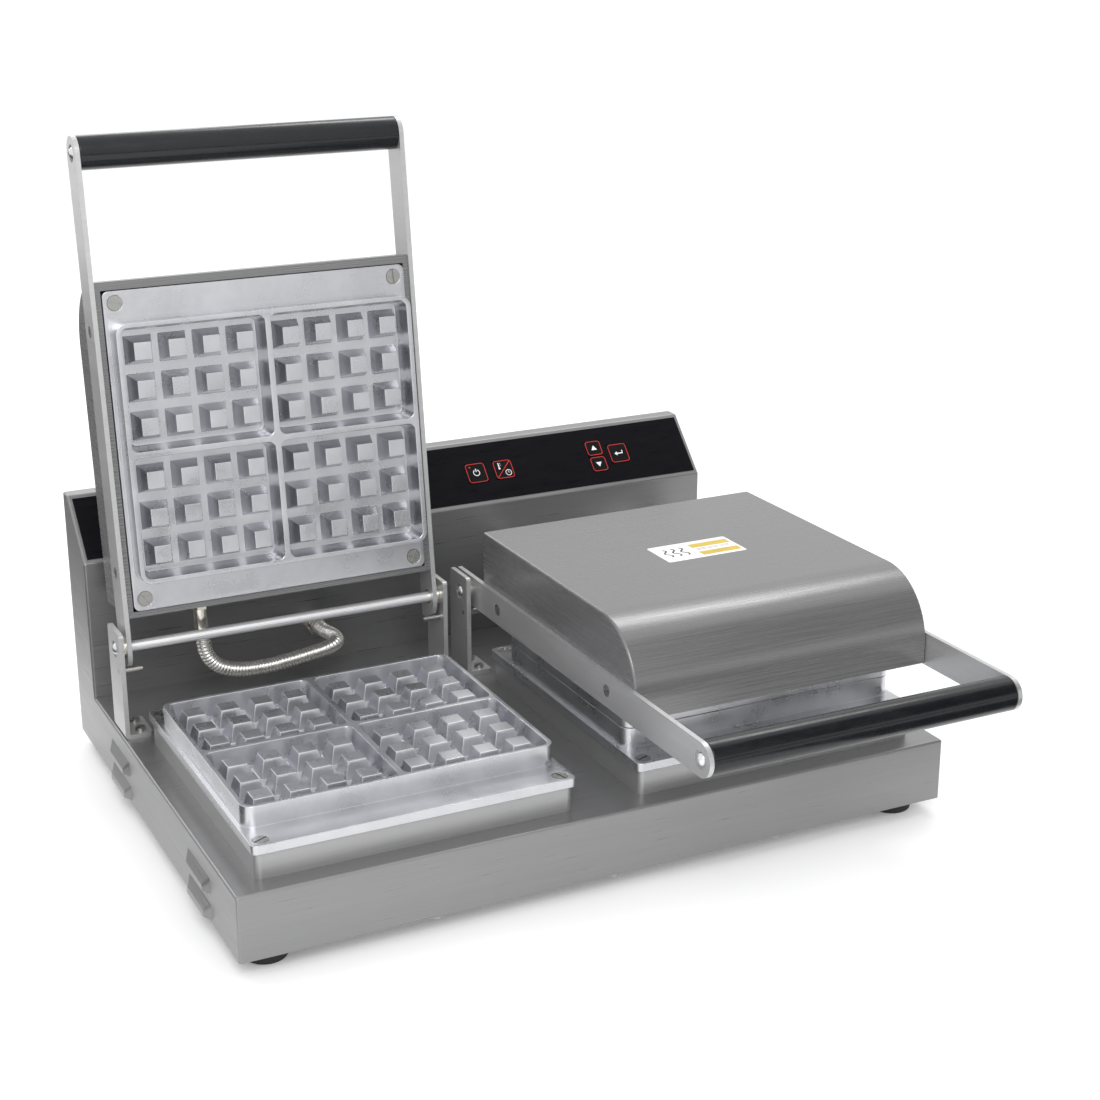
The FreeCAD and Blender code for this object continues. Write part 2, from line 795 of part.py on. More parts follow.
def make_power_parts():
    """What stands inside the control box, and the inlet of the mains cord."""
    board_y = "box_front + 36"
    pieces = [block("180", "board_thick", "90", ("-60", board_y, "60"))]
    for x, z, length, height in ((-48, 72, 30, 24), (-48, 108, 30, 24), (0, 78, 44, 52)):
        pieces.append(block(f"{length}", "14.2", f"{height}", (f"{x}", f"{board_y} - 14", f"{z}")))
    for x in (62, 82, 102):
        pieces.append(rod("12", "20.2", (f"{x}", f"{board_y} - 20", "84"), "y"))
    for x in (-52, 112):
        for z in (67, 143):
            pieces.append(rod("7", f"base_depth / 2 - ({board_y})", (f"{x}", board_y, f"{z}"), "y"))
    keep(fuse(*pieces), "power_board")
    terminals = [
        rod("6", "6", (f"{x}", "box_front + 30", "base_bottom + 19"), "z")
        for x in (-222, -208, -194)
    ]
    body = block("52", "28", "22", ("-234", "box_front + 16", "base_bottom"))
    keep(cut(body, *terminals), "terminal_block")
    wall = "base_depth / 2"
    x, z = "gland_x", "gland_z"
    gland = cut(
        fuse(
            rod("gland_thread", "24", (x, f"{wall} - 12", z), "y"),
            hexagon("27", "6", (x, f"{wall} + cover_thick", z), "y"),
            rod("24", "17", (x, f"{wall} + cover_thick", z), "y"),
            hexagon("27", "5", (x, f"{wall} - 5", z), "y"),
        ),
        rod("gland_bore", "40", (x, f"{wall} - 16", z), "y"),
    )
    keep(gland, "cable_gland")


# ---------------------------------------------------------------- control panel


def make_control_panel():
    body = new_body("control_overlay", "panel")
    sketch = new_sketch(body, "XY")
    draw_rectangle(
        sketch,
        "base_width - 2 * overlay_inset",
        f"{SLOPE_LENGTH} - 2 * overlay_inset",
        ("0", f"{SLOPE_LENGTH} / 2"),
    )
    pad(body, sketch, "overlay_thick")
    sketch = new_sketch(body, "XY")
    draw_key_windows(sketch)
    pocket(body, sketch, "3", both_ways=True)
    for label, (across, up, width, height) in KEYS.items():
        make_key(label, f"{across}", f"{up}", f"{width}", f"{height}")
    make_control_board()


def make_key(label, across, up, width, height):
    """A key cap that fills its window, with wings under the sheet that hold it in."""
    body = new_body(label, "panel")
    wing_top = "-(sheet_metal + key_clearance)"
    sketch = new_sketch(body, "XY", f"{wing_top} - 1")
    draw_rectangle(sketch, width, height, (across, up))
    pad(body, sketch, "overlay_thick + key_proud + sheet_metal + key_clearance + 1")
    round_edges(body, "key_corner", lambda edge: runs_along(edge, Z))
    sketch = new_sketch(body, "XY", f"{wing_top} - 1")
    draw_rectangle(sketch, f"{width} + 4", f"{height} - 6", (across, up))
    pad(body, sketch, "1")


def make_control_board():
    """The board under the keys: tact switches, the display module and spacers."""
    pieces = [block("192", "44", "board_thick", ("58", "12", "-board_depth - board_thick"))]
    switch_top = "(sheet_metal + key_clearance + 1 + key_travel + key_clearance)"
    for across, up, _, _ in KEYS.values():
        corner = (f"{across} - 3", f"{up} - 3", "-board_depth")
        pieces.append(block("6", "6", f"board_depth - {switch_top}", corner))
    pieces.append(block("66", "26", "board_depth - 3", ("125", "21", "-board_depth")))
    for across in (62, 192, 246):
        for up in (15, 53):
            foot = (f"{across}", f"{up}", "-board_depth")
            pieces.append(rod("5", "board_depth - sheet_metal", foot))
    keep(fuse(*pieces), "control_board", "panel")


# ---------------------------------------------------------------- waffle irons


def make_waffle_plate(label, frame, middle_y, face, up, flange_depth, iron_height):
    """A cast plate: a flange, and on it a block with four waffle moulds of 4 by 3 studs.

    face is the height of the flange's face, and up says which way the moulds look.
    """
    body = new_body(label, frame)
    middle = ("0", middle_y)
    sketch = new_sketch(body, "XY", face, middle)
    draw_rectangle(sketch, "flange_width", flange_depth)
    pad(body, sketch, "flange_thick", reverse=up > 0)
    round_edges(body, "flange_corner", lambda edge: runs_along(edge, Z))
    sketch = new_sketch(body, "XY", face, middle)
    draw_rectangle(sketch, "iron_width", "iron_depth")
    pad(body, sketch, iron_height, reverse=up < 0)
    level = number(face)
    top = number(f"{face} + {up} * {iron_height}")

    def block_corner(edge):
        return runs_along(edge, Z) and abs(edge.CenterOfMass.z - (level + top) / 2) < 0.01

    round_edges(body, "iron_corner", block_corner)
    cavity_middle = (
        f"-({CAVITY_WIDTH} + divider) / 2",
        f"{middle_y} - ({CAVITY_DEPTH} + divider) / 2",
    )
    cavity_rows = (
        (2, f"{CAVITY_WIDTH} + divider"),
        (2, f"{CAVITY_DEPTH} + divider"),
    )
    sketch = new_sketch(body, "XY", f"{face} + {up} * {iron_height}", cavity_middle)
    draw_rectangle(sketch, CAVITY_WIDTH, CAVITY_DEPTH)
    taper = "-cavity_draft"
    cavity = pocket(body, sketch, iron_height, reverse=up < 0, taper=taper)
    grid(body, [cavity], *cavity_rows)

    def cavity_corner(edge):
        tall = abs(edge.BoundBox.ZLength - abs(top - level)) < 0.01
        return tall and not runs_along(edge, Z) and edge.BoundBox.XLength > 0.5

    round_edges(body, "cavity_corner", cavity_corner)
    add_studs(body, face, up, iron_height, cavity_middle, cavity_rows)
    holes = [(x, f"{middle_y} + {y}") for x, y in plate_screw_spots(flange_depth)]
    bore(body, "XY", face, "4 * flange_thick", "plate_screw_thread + 0.3", holes)
    bore(body, "XY", face, "2 * plate_screw_sink", "plate_screw_head + 0.2", holes)


def add_studs(body, face, up, iron_height, cavity_middle, cavity_rows):
    """Four by three tapered studs in each of the four moulds."""
    pitch_x = f"(({CAVITY_WIDTH} - 4 * stud_base) / 5 + stud_base)"
    pitch_y = f"(({CAVITY_DEPTH} - 3 * stud_base) / 4 + stud_base)"
    x, y = cavity_middle
    sketch = new_sketch(
        body, "XY", face, (f"{x} - 1.5 * {pitch_x}", f"{y} - {pitch_y}")
    )
    draw_rectangle(sketch, "stud_base", "stud_base")
    stud = pad(
        body, sketch, f"{iron_height} - stud_sink", reverse=up < 0, taper="-stud_draft"
    )
    steps = []
    for rows in (((4, f"3 * {pitch_x}"), (3, f"2 * {pitch_y}")), cavity_rows):
        step = doc.addObject("PartDesign::LinearPattern", "rows")
        body.addObject(step)
        set_grid(body, step, *rows)
        steps.append(step)
    studs = doc.addObject("PartDesign::MultiTransform", "studs")
    body.addObject(studs)
    studs.Originals = [stud]
    studs.Transformations = steps
    body.Tip = studs


def heater_points(middle_y, z):
    """Four straight legs joined by bends, under or over a plate."""
    leg, reach, tail = 50, 95, 104
    return [
        (-1.5 * leg, middle_y - tail, z),
        (-1.5 * leg, middle_y + reach, z),
        (-0.5 * leg, middle_y + reach, z),
        (-0.5 * leg, middle_y - reach, z),
        (0.5 * leg, middle_y - reach, z),
        (0.5 * leg, middle_y + reach, z),
        (1.5 * leg, middle_y + reach, z),
        (1.5 * leg, middle_y - tail, z),
    ]


def make_heater(label, frame, middle_y, z):
    node = doc.addObject("Part::Feature", label)
    node.Shape, _, _ = tube_along(heater_points(middle_y, z), size("heater_diameter"))
    keep(node, label, frame)


def make_lower_irons():
    for side in SIDES:
        frame = f"{side}_unit"
        body = new_body(f"{side}_lower_skirt", frame)
        sketch = new_sketch(body, "XY", "deck_top", ("0", "plate_y"))
        draw_rectangle(sketch, "skirt_width", "skirt_depth")
        pad(body, sketch, "lower_face - flange_thick - deck_top")
        round_edges(body, "flange_corner", lambda edge: runs_along(edge, Z))
        sketch = new_sketch(body, "XY", "deck_top", ("0", "plate_y"))
        draw_rectangle(sketch, "skirt_width - 2 * sheet_metal", "skirt_depth - 2 * sheet_metal")
        pocket(body, sketch, "100", both_ways=True)
        make_waffle_plate(
            f"{side}_lower_waffle_plate",
            frame,
            "plate_y",
            "lower_face",
            1,
            "lower_flange_depth",
            "lower_iron_height",
        )
        under_plate = number("lower_face - flange_thick - 0.3 - heater_diameter / 2")
        make_heater(f"{side}_lower_heater", frame, size("plate_y"), under_plate)
    screw = slotted_screw("plate_screw_head", "plate_screw_thread", "plate_screw_sink", "34")
    seat = number("lower_face - plate_screw_sink")
    placed = []
    pads = []
    for unit in SIDES.values():
        unit_x = unit * size("unit_offset")
        for n, (x, y) in enumerate(numbers(plate_screw_spots("lower_flange_depth"))):
            turn = Rotation(Z, 25 + 40 * n)
            placed.append((screw, turned(unit_x + x, size("plate_y") + y, seat, turn)))
        wool = block("230", "230", "deck_top - base_bottom - sheet_metal - 0.6", ("-115", "-115", "0"))
        pads.append((wool, turned(unit_x, size("plate_y"), number("base_bottom + 0.3"))))
    group("lower_plate_screws", "base", placed)
    group("lower_insulation", "base", pads)


# ---------------------------------------------------------------- hinges


def make_bracket(label, frame, side):
    """An angle bracket: its foot points to the middle of its iron."""
    body = new_body(label, frame)
    outer, inner = f"{side} * bracket_outer", f"{side} * {BRACKET_INNER}"
    toe = f"{side} * ({BRACKET_INNER} - bracket_foot)"
    middle_y = "bracket_front + bracket_depth / 2"
    sketch = new_sketch(body, "XZ", f"-({middle_y})")
    draw_outline(
        sketch,
        [
            (outer, "deck_top"),
            (outer, "bracket_top"),
            (inner, "bracket_top"),
            (inner, "deck_top + bracket_thick"),
            (toe, "deck_top + bracket_thick"),
            (toe, "deck_top"),
        ],
    )
    pad(body, sketch, "bracket_depth", both_ways=True)
    bend = Vector(side * size("bracket_outer"), 0, size("deck_top"))

    def outer_bend(edge):
        flat = Vector(edge.CenterOfMass.x, 0, edge.CenterOfMass.z)
        return runs_along(edge, Y) and flat.distanceToPoint(bend) < 0.01

    def corner(edge):
        top = runs_along(edge, X) and abs(edge.CenterOfMass.z - size("bracket_top")) < 0.01
        toe_x = size("bracket_outer") - size("bracket_thick") - size("bracket_foot")
        foot = runs_along(edge, Z) and abs(abs(edge.CenterOfMass.x) - toe_x) < 0.01
        return top or foot

    round_edges(body, "bracket_thick", outer_bend)
    round_edges(body, "2.5", corner)
    axis = [("hinge_y", "hinge_z")]
    bore(body, "YZ", outer, "2 * bolt_sink", "bolt_sink_diameter", axis)
    bore(body, "YZ", outer, "4 * bracket_thick", "shaft_diameter + 0.1", axis)
    pin = [("hinge_y - pin_forward", "hinge_z - pin_drop")]
    bore(body, "YZ", outer, "4 * bracket_thick", "pin_diameter", pin)
    spots = bracket_screw_spots(side)
    bore(body, "XY", "deck_top", "4 * bracket_thick", "bracket_screw_thread + 0.3", spots)


def make_hinges():
    end = "(bracket_outer - bolt_sink)"
    axis = ("hinge_y", "hinge_z")
    bracket_screw = slotted_screw("9", "bracket_screw_thread", "2.8", "12")
    bolt = domed_bolt("bolt_head", "bolt_thread", "4", "13")
    pin = fuse(
        rod("pin_diameter", "bracket_thick + pin_reach - 1", ("0", "0", "0")),
        rod("pin_diameter - 1.2", "bracket_thick + pin_reach", ("0", "0", "0")),
    )
    screws, bolts, pins = [], [], []
    for name, unit in SIDES.items():
        frame = f"{name}_unit"
        unit_x = unit * size("unit_offset")
        for place_name, side in (("outer", unit), ("inner", -unit)):
            make_bracket(f"{name}_{place_name}_bracket", frame, side)
            outward = Rotation(Y, 90 * side)
            inward = Rotation(Y, -90 * side)
            foot_top = number("deck_top + bracket_thick")
            for n, (x, y) in enumerate(numbers(bracket_screw_spots(side))):
                turn = Rotation(Z, 20 + 50 * n)
                screws.append((bracket_screw, turned(unit_x + x, y, foot_top, turn)))
            x = unit_x + side * number(end)
            bolts.append((bolt, turned(x, size("hinge_y"), size("hinge_z"), outward)))
            x = unit_x + side * size("bracket_outer")
            y = size("hinge_y") - size("pin_forward")
            z = size("hinge_z") - size("pin_drop")
            pins.append((pin, turned(x, y, z, inward)))
        shaft = cut(
            rod("shaft_diameter", f"2 * {end}", (f"-{end}", *axis), "x"),
            rod("bolt_thread", "14", (f"-{end}", *axis), "x"),
            rod("bolt_thread", "14", (f"{end} - 14", *axis), "x"),
        )
        keep(shaft, f"{name}_hinge_shaft", frame)
    group("bracket_screws", "base", screws)
    group("shaft_bolts", "base", bolts)
    group("stop_pins", "base", pins)


# ---------------------------------------------------------------- lids


def make_hood(label, frame):
    """The steel cover of a lid, open below, with a lip and four tabs for the plate."""
    body = new_body(label, frame)
    sketch = new_sketch(body, "YZ")
    rear, front = "-hood_rear", "-hood_front"
    corners = [(rear, "hood_low"), (rear, "hood_high"), (front, "hood_high"), (front, "hood_low")]
    draw_outline(sketch, corners)
    pad(body, sketch, "hood_width", both_ways=True)

    def runs_at(y, z):
        def chosen(edge):
            middle = edge.CenterOfMass
            return runs_along(edge, X) and math.dist((middle.y, middle.z), (y, z)) < 0.01

        return chosen

    def outer_bend(edge):
        middle, box = edge.CenterOfMass, edge.BoundBox
        on_side = box.XLength < 0.01 and abs(abs(middle.x) - size("hood_width") / 2) < 0.01
        on_rear = box.YLength < 0.01 and abs(middle.y + size("hood_rear")) < 0.01
        return (on_side or on_rear) and abs(middle.z - size("hood_low")) > 0.01

    sketch = new_sketch(body, "YZ")
    rear, front = "-(hood_rear + sheet_metal)", "-(hood_front - sheet_metal)"
    high, low = "hood_high - sheet_metal", "hood_low - 1"
    draw_outline(sketch, [(rear, low), (rear, high), (front, high), (front, low)])
    pocket(body, sketch, "hood_width - 2 * sheet_metal", both_ways=True)
    inner_nose = runs_at(number(front), number(high))
    round_edges(body, "hood_nose - sheet_metal", inner_nose)
    round_edges(body, "hood_nose", runs_at(-size("hood_front"), size("hood_high")))
    round_edges(body, "bend_radius", outer_bend)
    depth, middle = "(hood_front - hood_rear)", "-(hood_front + hood_rear) / 2"
    sketch = new_sketch(body, "XY", "hood_low", ("0", middle))
    draw_rectangle(sketch, "hood_width - sheet_metal", f"{depth} - sheet_metal")
    draw_rectangle(
        sketch,
        "flange_width + 2 * lip_gap",
        "upper_flange_depth + 2 * lip_gap",
        ("0", f"-{PLATE_REACH} - ({middle})"),
    )
    pad(body, sketch, "sheet_metal")
    add_tabs(body)
    screws = [(f"-{x}", "arm_rise") for x in ("arm_screw_near", "arm_screw_far")]
    bore(body, "YZ", "0", "2 * hood_width", "arm_screw_thread + 0.3", screws)
    hole = [("fitting_x", "fitting_rise")]
    bore(body, "XZ", "hood_rear", "4 * sheet_metal", "hose_hole", hole)


def tab_spots():
    """Where the screws of an upper plate reach the hood's tabs."""
    return [
        (x, f"{y} - {PLATE_REACH}") for x, y in plate_screw_spots("upper_flange_depth")
    ]


def add_tabs(body):
    """Four tabs bent in from the side walls, just behind the upper plate's corners."""
    level = f"{UPPER_FACE} + flange_thick + 0.2"
    sketch = new_sketch(body, "XY", level)
    reach = "(hood_width / 2 - 0.5 - (flange_width / 2 - 2 * plate_screw_inset))"
    for (x, y), side in zip(tab_spots(), (-1, -1, 1, 1)):
        middle_x = f"{side} * (hood_width / 2 - 0.5 - {reach} / 2)"
        draw_rectangle(sketch, reach, "16", (middle_x, y))
    pad(body, sketch, "2")
    bore(body, "XY", level, "8", "plate_screw_thread + 0.3", tab_spots())


def make_arm(label, frame, side):
    """A flat bar screwed to the side of the hood, from the pivot to the grip."""
    body = new_body(label, frame)
    middle_x = f"{side} * (hood_width / 2 + arm_thick / 2)"
    outside = f"{side} * (hood_width / 2 + arm_thick)"
    low, high = "arm_rise - arm_width / 2", "arm_rise + arm_width / 2"
    front = "-(grip_reach + arm_width / 2)"
    sketch = new_sketch(body, "YZ", middle_x)
    corners = [("arm_tail", low), ("arm_tail", high), (front, high), (front, low)]
    draw_outline(sketch, corners)
    pad(body, sketch, "arm_thick", both_ways=True)
    low_z = number(low)

    def at_front(edge):
        return runs_along(edge, X) and edge.CenterOfMass.y < -size("hood_front")

    def at_tail(edge):
        low_edge = abs(edge.CenterOfMass.z - low_z) < 0.01
        return runs_along(edge, X) and edge.CenterOfMass.y > 0 and low_edge

    round_edges(body, "arm_width / 2 - 0.02", at_front)
    round_edges(body, "arm_tail_round", at_tail)
    through = "4 * arm_thick"
    bore(body, "YZ", middle_x, through, "bush_diameter", [("0", "0")])
    screws = [(f"-{reach}", "arm_rise") for reach in ("arm_screw_near", "arm_screw_far")]
    bore(body, "YZ", middle_x, through, "arm_screw_thread + 0.3", screws)
    bore(body, "YZ", outside, "4.8", "arm_screw_head + 0.2", screws)
    grip = [("-grip_reach", "arm_rise")]
    bore(body, "YZ", middle_x, through, "grip_thread + 0.3", grip)
    bore(body, "YZ", outside, "2 * bolt_sink", "bolt_sink_diameter", grip)


def make_grip(label, frame):
    body = new_body(label, frame)
    middle = [("-grip_reach", "arm_rise")]
    sketch = new_sketch(body, "YZ")
    draw_circle(sketch, "grip_diameter", middle[0])
    pad(body, sketch, "hood_width", both_ways=True)
    for side in SIDES.values():
        bore(body, "YZ", f"{side} * hood_width / 2", "50", "grip_thread", middle)


def make_lid(name):
    frame = f"{name}_lid"
    make_hood(f"{name}_hood", frame)
    make_waffle_plate(
        f"{name}_upper_waffle_plate",
        frame,
        f"-{PLATE_REACH}",
        UPPER_FACE,
        -1,
        "upper_flange_depth",
        "upper_iron_height",
    )
    back = f"({UPPER_FACE} + flange_thick)"
    heater_z = number(f"{back} + 0.3 + heater_diameter / 2")
    plate_middle = number(f"-{PLATE_REACH}")
    make_heater(f"{name}_upper_heater", frame, plate_middle, heater_z)
    wool_low = number(f"{back} + heater_diameter + 0.6")
    wool = block("236", "204", f"hood_high - sheet_metal - 0.3 - {wool_low}", ("-118", "0", "0"))
    group(f"{name}_upper_insulation", frame, [(wool, turned(0, -245, wool_low))])
    for side_name, side in SIDES.items():
        make_arm(f"{name}_lid_{side_name}_arm", frame, side)
    make_grip(f"{name}_grip", frame)
    make_lid_fasteners(name, frame)
    make_pivot_bushes(name, frame)
    make_conduit_fitting(name, frame)


def make_lid_fasteners(name, frame):
    plate_screw = slotted_screw("plate_screw_head", "plate_screw_thread", "plate_screw_sink", "9.5")
    arm_screw = slotted_screw("arm_screw_head", "arm_screw_thread", "2.4", "9")
    bolt = domed_bolt("bolt_head", "grip_thread", "4", "22")
    seat = number(f"{UPPER_FACE} + plate_screw_sink")
    screws = []
    for n, (x, y) in enumerate(numbers(tab_spots())):
        face_down = Rotation(Z, 15 + 35 * n).multiply(Rotation(X, 180))
        screws.append((plate_screw, turned(x, y, seat, face_down)))
    bolts = []
    arm_face = number("hood_width / 2 + arm_thick")
    for side in SIDES.values():
        outward = Rotation(Y, 90 * side)
        for n, reach in enumerate(("arm_screw_near", "arm_screw_far")):
            turn = outward.multiply(Rotation(Z, 30 + 70 * n))
            spot = turned(side * (arm_face - 2.4), -size(reach), size("arm_rise"), turn)
            screws.append((arm_screw, spot))
        x = side * (arm_face - size("bolt_sink"))
        bolts.append((bolt, turned(x, -size("grip_reach"), size("arm_rise"), outward)))
    group(f"{name}_lid_screws", frame, screws)
    group(f"{name}_grip_bolts", frame, bolts)


def make_pivot_bushes(name, frame):
    """Flanged bushes pressed into the arms; they turn on the shaft."""
    flange = f"{BRACKET_INNER} - running_gap - hood_width / 2 - arm_thick"
    bush = cut(
        fuse(
            rod("bush_diameter", "arm_thick", ("0", "0", "0")),
            rod("bush_flange", flange, ("0", "0", "arm_thick")),
        ),
        rod("shaft_diameter + 0.12", "30", ("0", "0", "-5")),
    )
    half = size("hood_width") / 2
    placed = [
        (bush, turned(side * half, 0, 0, Rotation(Y, 90 * side))) for side in SIDES.values()
    ]
    group(f"{name}_pivot_bushes", frame, placed)


def make_conduit_fitting(name, frame):
    """The hose's fitting in the rear wall of the hood, its axis along Y."""
    x, z = "fitting_x", "fitting_rise"
    fitting = cut(
        fuse(
            rod("hose_hole - 0.2", "10", (x, "-hood_rear - 8", z), "y"),
            hexagon("17", "4", (x, "-hood_rear - sheet_metal - 4", z), "y"),
            hexagon("14", "9", (x, "-hood_rear", z), "y"),
            rod("hose_diameter - 1", "fitting_length", (x, "-hood_rear", z), "y"),
        ),
        rod("hose_bore", "50", (x, "-hood_rear - 20", z), "y"),
    )
    keep(fitting, f"{name}_conduit_fitting", frame)


# ---------------------------------------------------------------- hoses

# The hoses that carry the lids' heater wires, from the fitting on the hood to the
# socket in the control box: the left one hangs under the open lid, and the right one
# is folded up behind the closed lid.
HOSE_ROUTES = {
    "left": [
        (-225, 111.3, 139.6),
        (-225, 109.6, 127.5),
        (-221.5, 110.2, 113.5),
        (-210.5, 111, 101.5),
        (-192, 111.8, 95),
        (-167, 112.2, 94),
        (-143, 112, 96.6),
        (-123, 112.2, 99.2),
        (-108, 113, 101.2),
        (-99.2, 117.8, 102.4),
        (-94.8, 126.4, 103.3),
        (-96.2, 138, 103.8),
        (-99.5, 149, 103.5),
        (-99.5, 160, 103.5),
    ],
    "right": [
        (93, 88, 170.8),
        (93, 102, 170.8),
        (96.5, 116, 167),
        (105, 127, 156.5),
        (117, 133.5, 141.5),
        (133, 136, 125.5),
        (152, 135.5, 112),
        (173, 132.5, 103),
        (193, 130.5, 99),
        (207.5, 134, 99.8),
        (216, 142.5, 102.3),
        (218.5, 151.5, 103.5),
        (218.5, 160, 103.5),
    ],
}


def make_hoses():
    for name, route in HOSE_ROUTES.items():
        node = doc.addObject("Part::Feature", f"{name}_conduit")
        node.Shape, length, tightest = tube_along(route, size("hose_diameter"))
        keep(node, f"{name}_conduit")
        print(f"{name} hose: {length:.1f} mm long, tightest radius {tightest:.1f} mm")


def make_conduit_sockets():
    """The nuts and collars in the front of the control box that take the hoses."""
    y, z = "box_front", "socket_z"
    socket = cut(
        fuse(
            rod("hose_hole - 0.2", "12", ("0", f"{y} - 2", z), "y"),
            hexagon("18", "5", ("0", f"{y} - 5", z), "y"),
            rod("hose_diameter + 3", "socket_length", ("0", f"{y} - socket_length", z), "y"),
            hexagon("17", "4", ("0", f"{y} + sheet_metal", z), "y"),
        ),
        rod("hose_bore", "50", ("0", f"{y} - 25", z), "y"),
    )
    places = [
        (socket, turned(unit * size("unit_offset") + size("socket_x"), 0, 0))
        for unit in SIDES.values()
    ]
    group("conduit_sockets", "base", places)


# ---------------------------------------------------------------- the whole machine


def check_and_write():
    doc.recompute()
    for thing in doc.Objects:
        bad = {"Invalid", "Error"} & set(thing.State)
        assert not bad, f"{thing.Label} is {thing.State}"
    for node in nodes:
        assert not node.Shape.isNull(), f"{node.Label} is empty"
        assert node.Shape.isValid(), f"{node.Label} isn't a valid shape"
    for node in nodes:
        node.Shape.exportStep(f"parts/{node.Label}.step")
    print(f"{len(nodes)} nodes, {sum(len(node.Shape.Solids) for node in nodes)} solids")


make_base_housing()
make_bottom_plate()
make_rear_cover()
make_feet()
make_housing_screws()
make_power_parts()
make_control_panel()
make_lower_irons()
make_hinges()
for lid in SIDES:
    make_lid(lid)
make_hoses()
make_conduit_sockets()
check_and_write()
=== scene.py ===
import math

import bmesh
import bpy
from mathutils import Matrix, Vector


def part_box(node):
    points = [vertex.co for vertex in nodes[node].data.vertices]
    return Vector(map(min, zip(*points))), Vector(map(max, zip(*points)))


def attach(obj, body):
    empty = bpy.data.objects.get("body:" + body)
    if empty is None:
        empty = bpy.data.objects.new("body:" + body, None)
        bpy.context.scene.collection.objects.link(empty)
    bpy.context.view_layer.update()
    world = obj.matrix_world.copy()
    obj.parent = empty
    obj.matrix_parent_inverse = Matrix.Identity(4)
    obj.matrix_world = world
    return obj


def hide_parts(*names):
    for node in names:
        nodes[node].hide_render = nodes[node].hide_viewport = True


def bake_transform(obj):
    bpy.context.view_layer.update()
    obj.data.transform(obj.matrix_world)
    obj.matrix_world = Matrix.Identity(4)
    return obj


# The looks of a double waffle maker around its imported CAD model. Metres; X to the
# right, Y to the back, Z up, with the origin on the table under the machine.

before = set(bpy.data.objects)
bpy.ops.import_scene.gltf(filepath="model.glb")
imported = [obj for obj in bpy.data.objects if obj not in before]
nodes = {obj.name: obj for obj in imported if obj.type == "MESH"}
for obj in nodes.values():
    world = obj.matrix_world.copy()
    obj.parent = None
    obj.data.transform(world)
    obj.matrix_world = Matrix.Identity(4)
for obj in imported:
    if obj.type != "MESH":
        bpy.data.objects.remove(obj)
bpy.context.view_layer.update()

MM = 0.001
KEY_NODES = ("key_power", "key_mode", "key_up", "key_down", "key_enter")


# ---------------------------------------------------------------- camera

CAMERA_PLACE = Vector((-0.6663, -1.3962, 0.7538))
CAMERA_AZIMUTH = math.radians(-24.78)
CAMERA_ELEVATION = math.radians(18.69)
CAMERA_ROLL = math.radians(-0.59)
CAMERA_LENS = 64.1
CAMERA_SENSOR = 36
CAMERA_SHIFT = (0.0572, -0.0052)


def make_camera():
    """A camera that looks at the machine from its front left and a little above."""
    flat = math.cos(CAMERA_ELEVATION)
    back = Vector(
        (
            math.sin(CAMERA_AZIMUTH) * flat,
            -math.cos(CAMERA_AZIMUTH) * flat,
            math.sin(CAMERA_ELEVATION),
        )
    )
    right = Vector((0, 0, 1)).cross(back).normalized()
    up = back.cross(right)
    c, s = math.cos(CAMERA_ROLL), math.sin(CAMERA_ROLL)
    axes = Matrix((c * right + s * up, c * up - s * right, back)).transposed()
    data = bpy.data.cameras.new("camera")
    data.lens = CAMERA_LENS
    data.sensor_width = CAMERA_SENSOR
    data.shift_x, data.shift_y = CAMERA_SHIFT
    camera = bpy.data.objects.new("camera", data)
    camera.matrix_world = Matrix.Translation(CAMERA_PLACE) @ axes.to_4x4()
    bpy.context.scene.collection.objects.link(camera)
    bpy.context.scene.camera = camera


# ---------------------------------------------------------------- shader helpers


